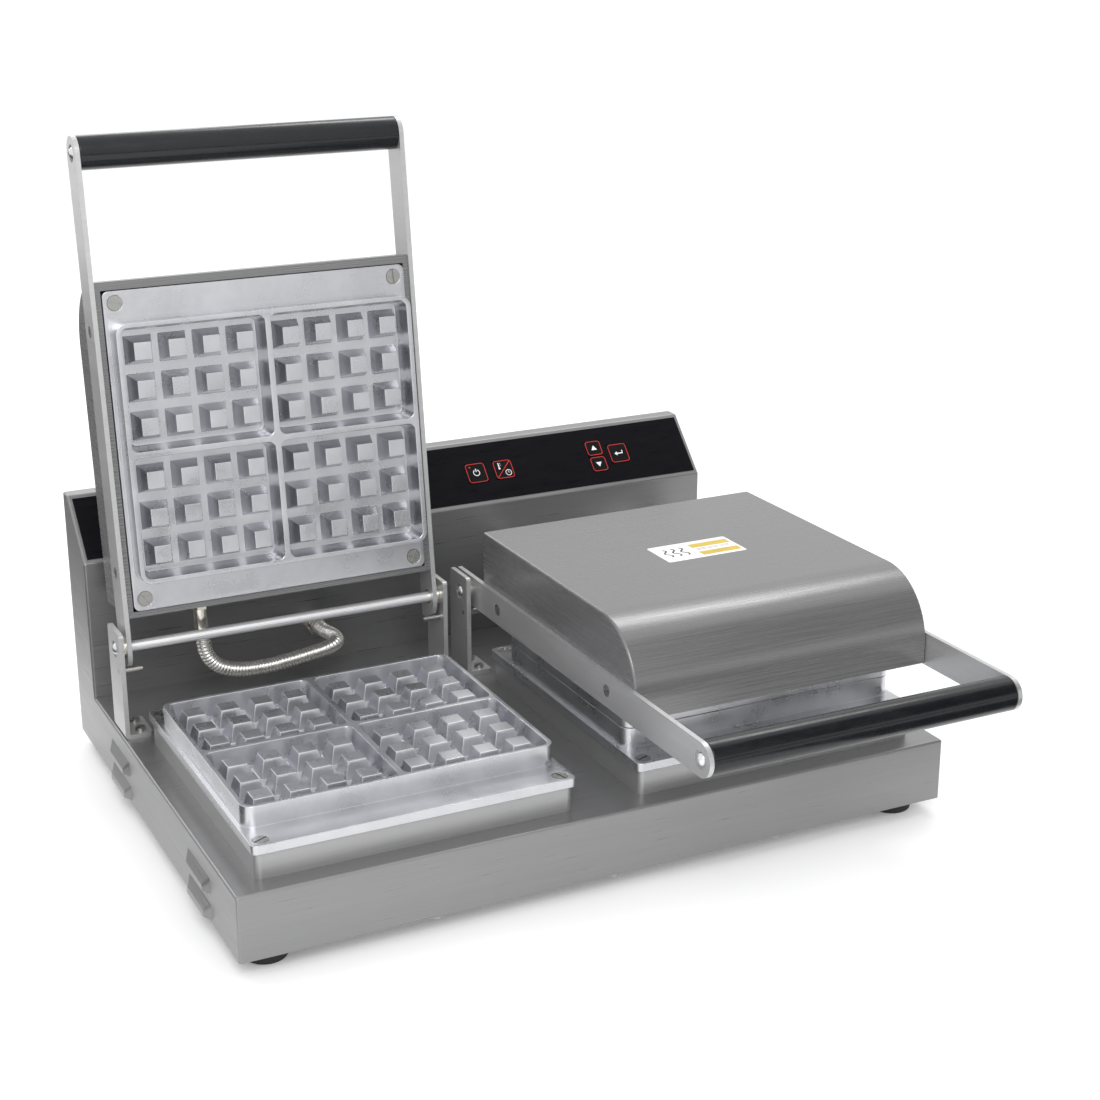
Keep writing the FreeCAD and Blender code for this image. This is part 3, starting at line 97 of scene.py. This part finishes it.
class Shader:
    """A material's nodes, with short ways to add and join them."""

    def __init__(self, name, color, metallic, roughness):
        self.material = bpy.data.materials.new(name)
        self.material.use_nodes = True
        self.tree = self.material.node_tree
        self.bsdf = self.tree.nodes["Principled BSDF"]
        self.bsdf.inputs["Base Color"].default_value = (*color, 1)
        self.bsdf.inputs["Metallic"].default_value = metallic
        self.bsdf.inputs["Roughness"].default_value = roughness
        self.place = self.add("ShaderNodeTexCoord").outputs["Object"]

    def add(self, kind, **values):
        """A new node of some kind with its settings."""
        node = self.tree.nodes.new(kind)
        for name, value in values.items():
            setattr(node, name, value)
        return node

    def join(self, source, target):
        self.tree.links.new(source, target)

    def noise(self, scale, detail, roughness=0.5):
        """Noise with its own scale along X, Y and Z, in cycles per metre."""
        mapping = self.add("ShaderNodeMapping")
        mapping.inputs["Scale"].default_value = scale
        self.join(self.place, mapping.inputs["Vector"])
        noise = self.add("ShaderNodeTexNoise")
        noise.inputs["Scale"].default_value = 1.0
        noise.inputs["Detail"].default_value = detail
        noise.inputs["Roughness"].default_value = roughness
        self.join(mapping.outputs["Vector"], noise.inputs["Vector"])
        return noise.outputs["Fac"]

    def span(self, value, low, high, from_low=0.3, from_high=0.7):
        """The value stretched to low..high; noise mostly stays between 0.3 and 0.7."""
        node = self.add("ShaderNodeMapRange")
        node.inputs["From Min"].default_value = from_low
        node.inputs["From Max"].default_value = from_high
        node.inputs["To Min"].default_value = low
        node.inputs["To Max"].default_value = high
        self.join(value, node.inputs["Value"])
        return node.outputs["Result"]

    def mix_values(self, factor, first, second):
        node = self.add("ShaderNodeMix", data_type="FLOAT")
        self.join(factor, node.inputs[0])
        self.join(first, node.inputs[2])
        self.join(second, node.inputs[3])
        return node.outputs[0]

    def tint(self, factor, first, second):
        """A colour between two colours."""
        node = self.add("ShaderNodeMix", data_type="RGBA")
        self.join(factor, node.inputs[0])
        node.inputs[6].default_value = (*first, 1)
        node.inputs[7].default_value = (*second, 1)
        return node.outputs[2]

    def color(self, value):
        self.join(value, self.bsdf.inputs["Base Color"])

    def roughness(self, value):
        self.join(value, self.bsdf.inputs["Roughness"])

    def bump(self, height, depth, strength):
        """Relief of some depth in metres."""
        node = self.add("ShaderNodeBump")
        node.inputs["Strength"].default_value = strength
        node.inputs["Distance"].default_value = depth
        self.join(height, node.inputs["Height"])
        self.join(node.outputs["Normal"], self.bsdf.inputs["Normal"])

    def faces_sideways(self):
        """1 on faces that look along X and 0 on the others."""
        split = self.add("ShaderNodeSeparateXYZ")
        self.join(self.add("ShaderNodeTexCoord").outputs["Normal"], split.inputs[0])
        size = self.add("ShaderNodeMath", operation="ABSOLUTE")
        self.join(split.outputs["X"], size.inputs[0])
        return self.span(size.outputs[0], 0, 1, 0.65, 0.75)


def scaled(color, factor):
    """A lighter or darker shade of a colour."""
    return tuple(min(1.0, part * factor) for part in color)


FINE_STREAKS = (14, 900)
BROAD_STREAKS = (3, 110)
BROAD_SHARE = 0.5
STREAK_SPREAD = 0.09


def streaks(shader, sideways, scales, detail):
    """Noise drawn out along X, and along Y on the faces that look sideways."""
    along, across = scales
    return shader.mix_values(
        sideways,
        shader.noise((along, across, across), detail),
        shader.noise((across, along, across), detail),
    )


def brushed_steel(name, color, roughness, streak, depth, metallic):
    """Ground steel; streak says how much lighter and darker its lines are."""
    shader = Shader(name, color, metallic, roughness)
    sideways = shader.faces_sideways()
    fine = streaks(shader, sideways, FINE_STREAKS, 4)
    broad = streaks(shader, sideways, BROAD_STREAKS, 3)
    both = shader.add("ShaderNodeMath", operation="MULTIPLY_ADD")
    shader.join(broad, both.inputs[0])
    both.inputs[1].default_value = BROAD_SHARE
    shader.join(fine, both.inputs[2])
    light = shader.span(both.outputs[0], 0, 1, 0.5, 1.0)
    spread = STREAK_SPREAD * streak
    shader.color(shader.tint(light, scaled(color, 1 - spread), scaled(color, 1 + spread)))
    shader.roughness(shader.span(fine, roughness - 0.06, roughness + 0.07))
    shader.bump(fine, depth, 0.6)
    return shader.material


def cast_metal(name, color, roughness, metallic):
    """Cast and blasted metal: a fine even grain with soft cloudy patches."""
    shader = Shader(name, color, metallic, roughness)
    clouds = shader.noise((28, 28, 28), 4, 0.6)
    grain = shader.noise((1500, 1500, 1500), 2)
    shader.color(shader.tint(shader.span(clouds, 0, 1), scaled(color, 0.9), scaled(color, 1.08)))
    shader.roughness(shader.span(clouds, roughness - 0.05, roughness + 0.07))
    shader.bump(grain, 0.000006, 0.4)
    return shader.material


def polished_metal(name, color, roughness):
    """Turned or plated metal with faint patches of wear."""
    shader = Shader(name, color, 1.0, roughness)
    wear = shader.noise((260, 260, 260), 4, 0.6)
    shader.color(shader.tint(shader.span(wear, 0, 1), scaled(color, 0.93), scaled(color, 1.05)))
    shader.roughness(shader.span(wear, roughness * 0.75, roughness * 1.5))
    shader.bump(wear, 0.00002, 0.3)
    return shader.material


def moulded(name, color, roughness, grain_depth, coat=0.0, shine=0.5):
    """Moulded plastic or rubber with a fine grain and faint scuffs."""
    shader = Shader(name, color, 0.0, roughness)
    shader.bsdf.inputs["Specular IOR Level"].default_value = shine
    shader.bsdf.inputs["Coat Weight"].default_value = coat
    shader.bsdf.inputs["Coat Roughness"].default_value = 0.12
    scuffs = shader.noise((40, 160, 160), 5, 0.65)
    grain = shader.noise((1100, 1100, 1100), 2)
    shader.color(shader.tint(shader.span(scuffs, 0, 1), scaled(color, 0.85), scaled(color, 1.2)))
    shader.roughness(shader.span(scuffs, roughness - 0.05, roughness + 0.08))
    shader.bump(grain, grain_depth, 0.5)
    return shader.material


def circuit_material():
    """Solder mask with copper tracks that show through as lighter lanes."""
    shader = Shader("circuit_board", (0.02, 0.12, 0.05), 0.0, 0.35)
    tracks = shader.noise((420, 60, 420), 1)
    lanes = shader.span(tracks, 0, 1, 0.48, 0.54)
    shader.color(shader.tint(lanes, (0.01, 0.09, 0.04), (0.04, 0.2, 0.08)))
    shader.bump(tracks, 0.00005, 0.5)
    return shader.material


def wool_material():
    """Pressed mineral wool: tangled short fibres."""
    shader = Shader("mineral_wool", (0.52, 0.46, 0.3), 0.0, 0.95)
    fibres = shader.noise((700, 180, 420), 6, 0.7)
    shader.color(shader.tint(shader.span(fibres, 0, 1), (0.38, 0.33, 0.2), (0.66, 0.6, 0.42)))
    shader.bump(fibres, 0.0008, 0.9)
    return shader.material


# ---------------------------------------------------------------- CAD nodes


def dress(material, *names):
    """Give CAD nodes a material."""
    for name in names:
        slots = nodes[name].data.materials
        slots.clear()
        slots.append(material)


WELD_REACH = 0.00001
SHARP_ANGLE = math.radians(35)


def soften(width, segments, *names):
    """Round the sharp edges of CAD nodes by modifiers, so that they catch the light."""
    for name in names:
        thing = nodes[name]
        weld = thing.modifiers.new("weld", "WELD")
        weld.merge_threshold = WELD_REACH
        bevel = thing.modifiers.new("bevel", "BEVEL")
        bevel.width = width
        bevel.segments = segments
        bevel.limit_method = "ANGLE"
        bevel.angle_limit = SHARP_ANGLE
        bevel.use_clamp_overlap = False
        bevel.loop_slide = False
        normals = thing.modifiers.new("normals", "WEIGHTED_NORMAL")
        normals.weight = 100
        normals.keep_sharp = True
        for face in thing.data.polygons:
            face.use_smooth = True


def both_sides(*endings):
    return [f"{side}_{ending}" for ending in endings for side in ("left", "right")]


# colour, roughness, streak, depth, metallic and nodes of each brushed steel
SHEETS = {
    "housing_steel": ((0.265, 0.265, 0.267), 0.33, 0.6, 0.00001, 0.7, ["base_housing"]),
    # the skirts' steel is the housing steel painted lighter: painted light for the brightness the
    # skirts catch
    "skirt_steel_painted_lighter": ((0.4, 0.4, 0.402), 0.36, 0.6, 0.00001, 0.7, both_sides("lower_skirt")),
    "hood_steel": ((0.2, 0.2, 0.202), 0.27, 0.3, 0.000006, 0.5, both_sides("hood")),
    "cover_steel": ((0.29, 0.29, 0.292), 0.38, 0.6, 0.00001, 0.7, ["bottom_plate", "rear_cover"]),
    "bar_steel": (
        (0.54, 0.54, 0.54),
        0.36,
        0.6,
        0.00001,
        0.7,
        both_sides("lid_left_arm", "lid_right_arm", "outer_bracket", "inner_bracket"),
    ),
    "rod_steel": ((0.82, 0.82, 0.83), 0.3, 0.4, 0.000005, 0.6, both_sides("hinge_shaft")),
}
PLATES = both_sides("lower_waffle_plate", "upper_waffle_plate")
HEATERS = both_sides("lower_heater", "upper_heater")
GRIPS = both_sides("grip")
SCREWS = [
    "housing_screws",
    "bracket_screws",
    "lower_plate_screws",
    "stop_pins",
    *both_sides("lid_screws"),
]
PLATED = ["cable_gland", "conduit_sockets", *both_sides("conduit_fitting", "pivot_bushes")]
FEET = [f"foot_{end}_{side}" for end in ("front", "rear") for side in ("left", "right")]


def dress_cad():
    for name, (*finish, names) in SHEETS.items():
        dress(brushed_steel(name, *finish), *names)
    dress(cast_metal("cast_plate", (0.6, 0.605, 0.63), 0.28, 0.95), *PLATES)
    soften(0.5 * MM, 2, *PLATES)
    dress(cast_metal("heater_steel", (0.3, 0.27, 0.25), 0.5, 1.0), *HEATERS)
    dress(polished_metal("screw_steel", (0.42, 0.415, 0.4), 0.3), *SCREWS)
    bolts = polished_metal("bolt_steel", (0.8, 0.8, 0.81), 0.26)
    dress(bolts, "shaft_bolts", *both_sides("grip_bolts"))
    dress(polished_metal("plated_brass", (0.74, 0.72, 0.64), 0.18), *PLATED)
    grip = moulded("grip_plastic", (0.006, 0.007, 0.009), 0.24, 0.000012, 0.12, 0.4)
    dress(grip, *GRIPS)
    soften(1.2 * MM, 3, *GRIPS)
    foil = moulded("panel_foil", (0.005, 0.005, 0.007), 0.3, 0.000012, shine=0.07)
    dress(foil, "control_overlay")
    film = moulded("key_film", (0.006, 0.006, 0.007), 0.34, 0.000012, shine=0.1)
    dress(film, *KEY_NODES)
    dress(circuit_material(), "control_board", "power_board")
    dress(moulded("terminal_plastic", (0.78, 0.75, 0.68), 0.5, 0.00004), "terminal_block")
    dress(wool_material(), "lower_insulation", *both_sides("upper_insulation"))
    dress(moulded("foot_rubber", (0.012, 0.012, 0.012), 0.7, 0.00008), *FEET)


# ---------------------------------------------------------------- hoses

HOSE_DIAMETER = 0.0135
HOSE_RIB = 0.0031
RIB_DEPTH = 0.0017
RINGS_PER_RIB = 6
RIB_FLATNESS = 1.6
HOSE_SIDES = 24
HOSE_ROUTES = {
    "left": (
        (-0.225, 0.1543, 0.1396),
        (-0.225, 0.1526, 0.1275),
        (-0.2215, 0.1532, 0.1135),
        (-0.2105, 0.154, 0.1015),
        (-0.192, 0.1548, 0.095),
        (-0.167, 0.1552, 0.094),
        (-0.143, 0.155, 0.0966),
        (-0.123, 0.1552, 0.0992),
        (-0.108, 0.156, 0.1012),
        (-0.0992, 0.1608, 0.1024),
        (-0.0948, 0.1694, 0.1033),
        (-0.0962, 0.181, 0.1038),
        (-0.0995, 0.192, 0.1035),
        (-0.0995, 0.203, 0.1035),
    ),
    "right": (
        (0.093, 0.131, 0.1708),
        (0.093, 0.145, 0.1708),
        (0.0965, 0.159, 0.167),
        (0.105, 0.17, 0.1565),
        (0.117, 0.1765, 0.1415),
        (0.133, 0.179, 0.1255),
        (0.152, 0.1785, 0.112),
        (0.173, 0.1755, 0.103),
        (0.193, 0.1735, 0.099),
        (0.2075, 0.177, 0.0998),
        (0.216, 0.1855, 0.1023),
        (0.2185, 0.1945, 0.1035),
        (0.2185, 0.203, 0.1035),
    ),
}


def spline_line(points):
    """Points along the smooth NURBS line that a route gives."""
    curve = bpy.data.curves.new("route", "CURVE")
    curve.dimensions = "3D"
    spline = curve.splines.new("NURBS")
    spline.points.add(len(points) - 1)
    for spot, point in zip(spline.points, points):
        spot.co = (*point, 1)
    spline.order_u = 3
    spline.use_endpoint_u = True
    spline.resolution_u = 24
    holder = bpy.data.objects.new("route", curve)
    bpy.context.scene.collection.objects.link(holder)
    bpy.context.view_layer.update()
    evaluated = holder.evaluated_get(bpy.context.evaluated_depsgraph_get())
    mesh = bpy.data.meshes.new_from_object(evaluated)
    line = [vertex.co.copy() for vertex in mesh.vertices]
    bpy.data.objects.remove(holder)
    return line


def even_steps(line, step):
    """Points about a step apart along a line, from its first to its last."""
    lengths = [0.0]
    for first, second in zip(line, line[1:]):
        lengths.append(lengths[-1] + (second - first).length)
    count = max(2, round(lengths[-1] / step))
    result, at = [], 0
    for n in range(count + 1):
        wanted = lengths[-1] * n / count
        while at < len(line) - 2 and lengths[at + 1] < wanted:
            at += 1
        part = (wanted - lengths[at]) / (lengths[at + 1] - lengths[at])
        result.append(line[at].lerp(line[at + 1], part))
    return result


def tube_mesh(name, line, radius_at, around):
    """A closed tube along a line, with a radius for each of its rings."""
    shape = bmesh.new()
    rings = []
    side = Vector((1, 0, 0))
    for n, point in enumerate(line):
        ahead = line[min(n + 1, len(line) - 1)] - line[max(n - 1, 0)]
        ahead.normalize()
        side = (side - side.dot(ahead) * ahead).normalized()
        across = ahead.cross(side)
        ring = []
        for k in range(around):
            turn = 2 * math.pi * k / around
            out = math.cos(turn) * side + math.sin(turn) * across
            ring.append(shape.verts.new(point + radius_at(n) * out))
        rings.append(ring)
    for first, second in zip(rings, rings[1:]):
        for k in range(around):
            j = (k + 1) % around
            shape.faces.new((first[k], first[j], second[j], second[k]))
    shape.faces.new(rings[0][::-1])
    shape.faces.new(rings[-1])
    for face in shape.faces:
        face.smooth = len(face.verts) == 4
    mesh = bpy.data.meshes.new(name)
    bmesh.ops.recalc_face_normals(shape, faces=shape.faces)
    shape.to_mesh(mesh)
    shape.free()
    piece = bpy.data.objects.new(name, mesh)
    bpy.context.scene.collection.objects.link(piece)
    return piece


def make_hose(side, material):
    """A hose of rolled steel strip: round ribs with narrow gaps."""
    line = spline_line(HOSE_ROUTES[side])
    steps = even_steps(line, HOSE_RIB / RINGS_PER_RIB)
    outer = HOSE_DIAMETER / 2

    def radius_at(n):
        rise = abs(math.sin(math.pi * n / RINGS_PER_RIB))
        return outer - RIB_DEPTH * (1 - rise) ** RIB_FLATNESS

    piece = tube_mesh(f"{side}_hose", steps, radius_at, HOSE_SIDES)
    piece.data.materials.append(material)
    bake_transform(piece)
    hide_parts(f"{side}_conduit")


def make_hoses():
    shader = Shader("hose_steel", (0.78, 0.77, 0.73), 0.8, 0.24)
    wear = shader.noise((180, 180, 180), 4, 0.6)
    shader.color(shader.tint(shader.span(wear, 0, 1), (0.72, 0.71, 0.67), (0.9, 0.89, 0.86)))
    shader.roughness(shader.span(wear, 0.18, 0.3))
    shader.bump(wear, 0.00003, 0.4)
    for side in HOSE_ROUTES:
        make_hose(side, shader.material)


# ---------------------------------------------------------------- panel marks

# the sloping face's foot, and how far it rises and how far it runs back, in millimetres
PANEL_FOOT = Vector((0, 0.214, 0.1935))
PANEL_RISE = 50
PANEL_RUN = 47
PANEL_TURN = math.atan2(PANEL_RISE, PANEL_RUN)
KEY_TOP = 0.9 * MM
# the keys' red frames, in millimetres
FRAME_LINE = 0.55
FRAME_CORNER = 2.6
FRAME_INSET = 0.8
SLASH_LINE = 0.6
SLASH_INSET = 1.4
LAMP_PLACE = (-5.6, 6.4)
LAMP_RADIUS = 0.8
# across, up, width and height of each key in millimetres, as in the CAD model
KEY_PLACES = {
    "key_power": (77.3, 34.0, 20.6, 21.0),
    "key_mode": (106.0, 34.0, 20.0, 20.0),
    "key_up": (206.7, 42.8, 17.0, 16.2),
    "key_down": (206.7, 25.2, 17.0, 16.2),
    "key_enter": (231.3, 34.0, 20.6, 20.6),
}


def panel_matrix():
    return Matrix.Translation(PANEL_FOOT) @ Matrix.Rotation(PANEL_TURN, 4, "X")


def ribbon(path, width, closed):
    """The two edges of a flat line of some width: pairs of left and right points."""
    pairs = []
    count = len(path)
    for n in range(count):
        before = path[(n - 1) % count] if closed or n else path[0]
        after = path[(n + 1) % count] if closed or n < count - 1 else path[-1]
        along = (after - before).normalized()
        out = Vector((-along.y, along.x)) * width / 2
        pairs.append((path[n] + out, path[n] - out))
    return pairs


CORNER_STEPS = 6


def rounded_loop(width, height, corner):
    """A rectangle with round corners, as points around it."""
    points = []
    for n, (sx, sy) in enumerate(((1, 1), (-1, 1), (-1, -1), (1, -1))):
        centre = Vector((sx * (width / 2 - corner), sy * (height / 2 - corner)))
        for k in range(CORNER_STEPS + 1):
            turn = math.pi / 2 * (n + k / CORNER_STEPS)
            points.append(centre + corner * Vector((math.cos(turn), math.sin(turn))))
    return points


def arc(centre, radius, start, end, steps=20):
    """Points along an arc between two angles in degrees."""
    turns = [math.radians(start + (end - start) * k / steps) for k in range(steps + 1)]
    return [Vector(centre) + radius * Vector((math.cos(t), math.sin(t))) for t in turns]


class Print:
    """Flat printed marks on the panel: strips and filled shapes, a little thick."""

    THICK = 0.06

    def __init__(self):
        self.shape = bmesh.new()

    def plate(self, points):
        """A filled shape with a top, a bottom and sides; points in millimetres."""
        top = [self.shape.verts.new((p.x, p.y, self.THICK)) for p in points]
        bottom = [self.shape.verts.new((p.x, p.y, 0)) for p in points]
        self.shape.faces.new(top)
        self.shape.faces.new(bottom[::-1])
        for n in range(len(points)):
            m = (n + 1) % len(points)
            self.shape.faces.new((bottom[n], bottom[m], top[m], top[n]))

    def strip(self, path, width, closed=False):
        """A line of some width along a path, or around it if it is closed."""
        pairs = ribbon([Vector(p) for p in path], width, closed)
        rows = []
        for left, right in pairs:
            rows.append(
                [
                    self.shape.verts.new((left.x, left.y, self.THICK)),
                    self.shape.verts.new((right.x, right.y, self.THICK)),
                    self.shape.verts.new((right.x, right.y, 0)),
                    self.shape.verts.new((left.x, left.y, 0)),
                ]
            )
        ends = rows[1:] + rows[:1] if closed else rows[1:]
        for first, second in zip(rows, ends):
            for k in range(4):
                j = (k + 1) % 4
                self.shape.faces.new((first[k], first[j], second[j], second[k]))
        if not closed:
            self.shape.faces.new(rows[0])
            self.shape.faces.new(rows[-1][::-1])

    def disc(self, centre, radius):
        self.plate(arc(centre, radius, 0, 345, 23))

    def finish(self, name, body, matrix, material, slot):
        """Make the marks one piece that moves with a body."""
        bmesh.ops.recalc_face_normals(self.shape, faces=self.shape.faces)
        mesh = bpy.data.meshes.new(name)
        self.shape.to_mesh(mesh)
        self.shape.free()
        mesh.transform(matrix @ Matrix.Scale(MM, 4))
        mesh.materials.append(material)
        piece = bpy.data.objects.new(name, mesh)
        bpy.context.scene.collection.objects.link(piece)
        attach(piece, body)


def draw_power(ink):
    ink.strip(arc((0, 0.2), 3.1, 120, 420), 0.75)
    ink.strip([(0, 4.4), (0, 1.0)], 0.75)


def draw_mode(ink):
    # a thermometer above the line, and a clock below it
    ink.strip([(-4.2, 7.2), (-4.2, 1.6)], 0.9)
    ink.disc((-4.2, 1.2), 1.05)
    ink.strip([(-2.9, 6.4), (-2.0, 6.4)], 0.4)
    ink.strip([(-2.9, 4.6), (-2.0, 4.6)], 0.4)
    ink.strip(arc((4.0, -4.0), 2.9, 0, 348, 29), 0.6, closed=True)
    ink.strip([(4.0, -2.3), (4.0, -4.0), (5.3, -4.0)], 0.5)


def draw_up(ink):
    ink.plate([Vector((-3.0, -2.0)), Vector((3.0, -2.0)), Vector((0, 3.0))])


def draw_down(ink):
    ink.plate([Vector((-3.0, 2.0)), Vector((0, -3.0)), Vector((3.0, 2.0))])


def draw_enter(ink):
    ink.strip([(4.2, 2.6), (4.2, -0.4), (-2.0, -0.4)], 1.1)
    ink.plate([Vector((-4.6, -0.4)), Vector((-1.6, -2.6)), Vector((-1.6, 1.8))])


def make_key_marks():
    """A red frame and a white sign on each key."""
    red = moulded("red_ink", (0.62, 0.02, 0.015), 0.4, 0.00001)
    white = moulded("white_ink", (0.82, 0.82, 0.82), 0.4, 0.00001)
    signs = {
        "key_power": draw_power,
        "key_mode": draw_mode,
        "key_up": draw_up,
        "key_down": draw_down,
        "key_enter": draw_enter,
    }
    for key, (across, up, width, height) in KEY_PLACES.items():
        spot = Matrix.Translation((across * MM, up * MM, KEY_TOP))
        matrix = panel_matrix() @ spot
        outline = Print()
        loop = rounded_loop(width - 2 * FRAME_INSET, height - 2 * FRAME_INSET, FRAME_CORNER)
        outline.strip(loop, FRAME_LINE, closed=True)
        if key == "key_mode":
            reach = width / 2 - SLASH_INSET
            outline.strip([(-reach, -reach), (reach, reach)], SLASH_LINE)
        if key == "key_power":
            outline.disc(LAMP_PLACE, LAMP_RADIUS)
        outline.finish(f"{key}_frame", f"{key}_cap", matrix, red, "key_film")
        ink = Print()
        signs[key](ink)
        ink.finish(f"{key}_sign", f"{key}_cap", matrix, white, "key_film")


LABEL_PLACE = (0.1665, -0.023)


def make_label():
    """A plain sticker on the closed hood: two coloured bars and a wave sign."""
    paper = moulded("label_paper", (0.78, 0.78, 0.77), 0.45, 0.00002)
    yellow = moulded("label_yellow", (0.56, 0.4, 0.04), 0.45, 0.00002)
    dark = moulded("label_dark", (0.03, 0.03, 0.035), 0.45, 0.00002)
    hood_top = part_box("right_hood")[1].z
    matrix = Matrix.Translation((*LABEL_PLACE, hood_top))
    sheet = Print()
    sheet.plate(rounded_loop(77, 40, 2))
    sheet.finish("label_sheet", "right_lid", matrix, paper, "key_film")
    raised = matrix @ Matrix.Translation((0, 0, Print.THICK * MM))
    bars = Print()
    for y in (9, -11):
        bars.plate([p + Vector((17, y)) for p in rounded_loop(38, 9, 0.6)])
    bars.finish("label_bars", "right_lid", raised, yellow, "key_film")
    waves = Print()
    for x in (-29, -21, -13):
        wave = [(x + 2.2 * math.sin(t * 0.55), -9 + t * 1.1) for t in range(18)]
        waves.strip(wave, 1.6)
    for y in (-1.5, 1.2):
        waves.strip([(0, y), (32, y)], 0.5)
    waves.finish("label_waves", "right_lid", raised, dark, "key_film")


# ---------------------------------------------------------------- stage


FLOOR_REACH = 25.0
FLOOR_GLOW = 0.14


def make_floor():
    shader = Shader("floor", (0.86, 0.86, 0.86), 0.0, 0.6)
    shader.bsdf.inputs["Emission Color"].default_value = (1, 1, 1, 1)
    shader.bsdf.inputs["Emission Strength"].default_value = FLOOR_GLOW
    speckle = shader.noise((3, 3, 3), 2)
    shader.color(shader.tint(shader.span(speckle, 0, 1), (0.85, 0.85, 0.85), (0.87, 0.87, 0.87)))
    mesh = bpy.data.meshes.new("floor")
    signs = ((-1, -1), (1, -1), (1, 1), (-1, 1))
    corners = [(x * FLOOR_REACH, y * FLOOR_REACH, 0) for x, y in signs]
    mesh.from_pydata(corners, [], [(0, 1, 2, 3)])
    mesh.materials.append(shader.material)
    floor = bpy.data.objects.new("floor", mesh)
    bpy.context.scene.collection.objects.link(floor)


# the lowest left corner and the highest right one of each cloth
FLAGS = {
    "high_flag": ((0.85, -1.9, 0.6), (2.6, -0.7, 2.4)),
    "low_flag": ((-0.3, -1.9, 0.0), (1.6, -1.9, 0.22)),
    "left_cloth": ((-2.5, -0.2, 0.002), (-0.4, 2.5, 0.002)),
    "right_cloth": ((0.25, -0.8, 0.002), (1.8, -0.33, 0.002)),
}


def make_flags():
    """Dark cloths that nothing but the metal mirrors, for its darker bands."""
    shader = Shader("flag_cloth", (0.03, 0.03, 0.03), 0.0, 0.9)
    weave = shader.noise((40, 40, 40), 2)
    shader.color(shader.tint(shader.span(weave, 0, 1), (0.02, 0.02, 0.02), (0.04, 0.04, 0.04)))
    for name, ((left, front, low), (right, back, high)) in FLAGS.items():
        mesh = bpy.data.meshes.new(name)
        corners = [(left, front, low), (right, front, low), (right, back, high), (left, back, high)]
        mesh.from_pydata(corners, [], [(0, 1, 2, 3)])
        mesh.materials.append(shader.material)
        flag = bpy.data.objects.new(name, mesh)
        bpy.context.scene.collection.objects.link(flag)
        flag.visible_camera = False
        flag.visible_diffuse = False
        flag.visible_shadow = False


def add_light(name, place, target, width, height, power):
    data = bpy.data.lights.new(name, "AREA")
    data.shape = "RECTANGLE"
    data.size = width
    data.size_y = height
    data.energy = power
    light = bpy.data.objects.new(name, data)
    direction = Vector(target) - Vector(place)
    turn = direction.to_track_quat("-Z", "Y").to_matrix().to_4x4()
    light.matrix_world = Matrix.Translation(place) @ turn
    bpy.context.scene.collection.objects.link(light)


def make_light():
    world = bpy.data.worlds.new("studio")
    world.use_nodes = True
    background = world.node_tree.nodes["Background"]
    background.inputs["Color"].default_value = (1, 1, 1, 1)
    background.inputs["Strength"].default_value = 1.0
    bpy.context.scene.world = world
    middle = (0, 0, 0.15)
    add_light("key_light", (-0.9, -2.1, 2.1), middle, 1.4, 1.4, 34)
    add_light("back_light", (-0.4, 2.4, 1.7), middle, 2.2, 1.0, 12)
    add_light("top_light", (1.1, 1.0, 2.3), middle, 1.6, 0.5, 14)
    bpy.context.scene.view_settings.view_transform = "Standard"


make_camera()
make_hoses()
dress_cad()
make_key_marks()
make_label()
make_floor()
make_flags()
make_light()
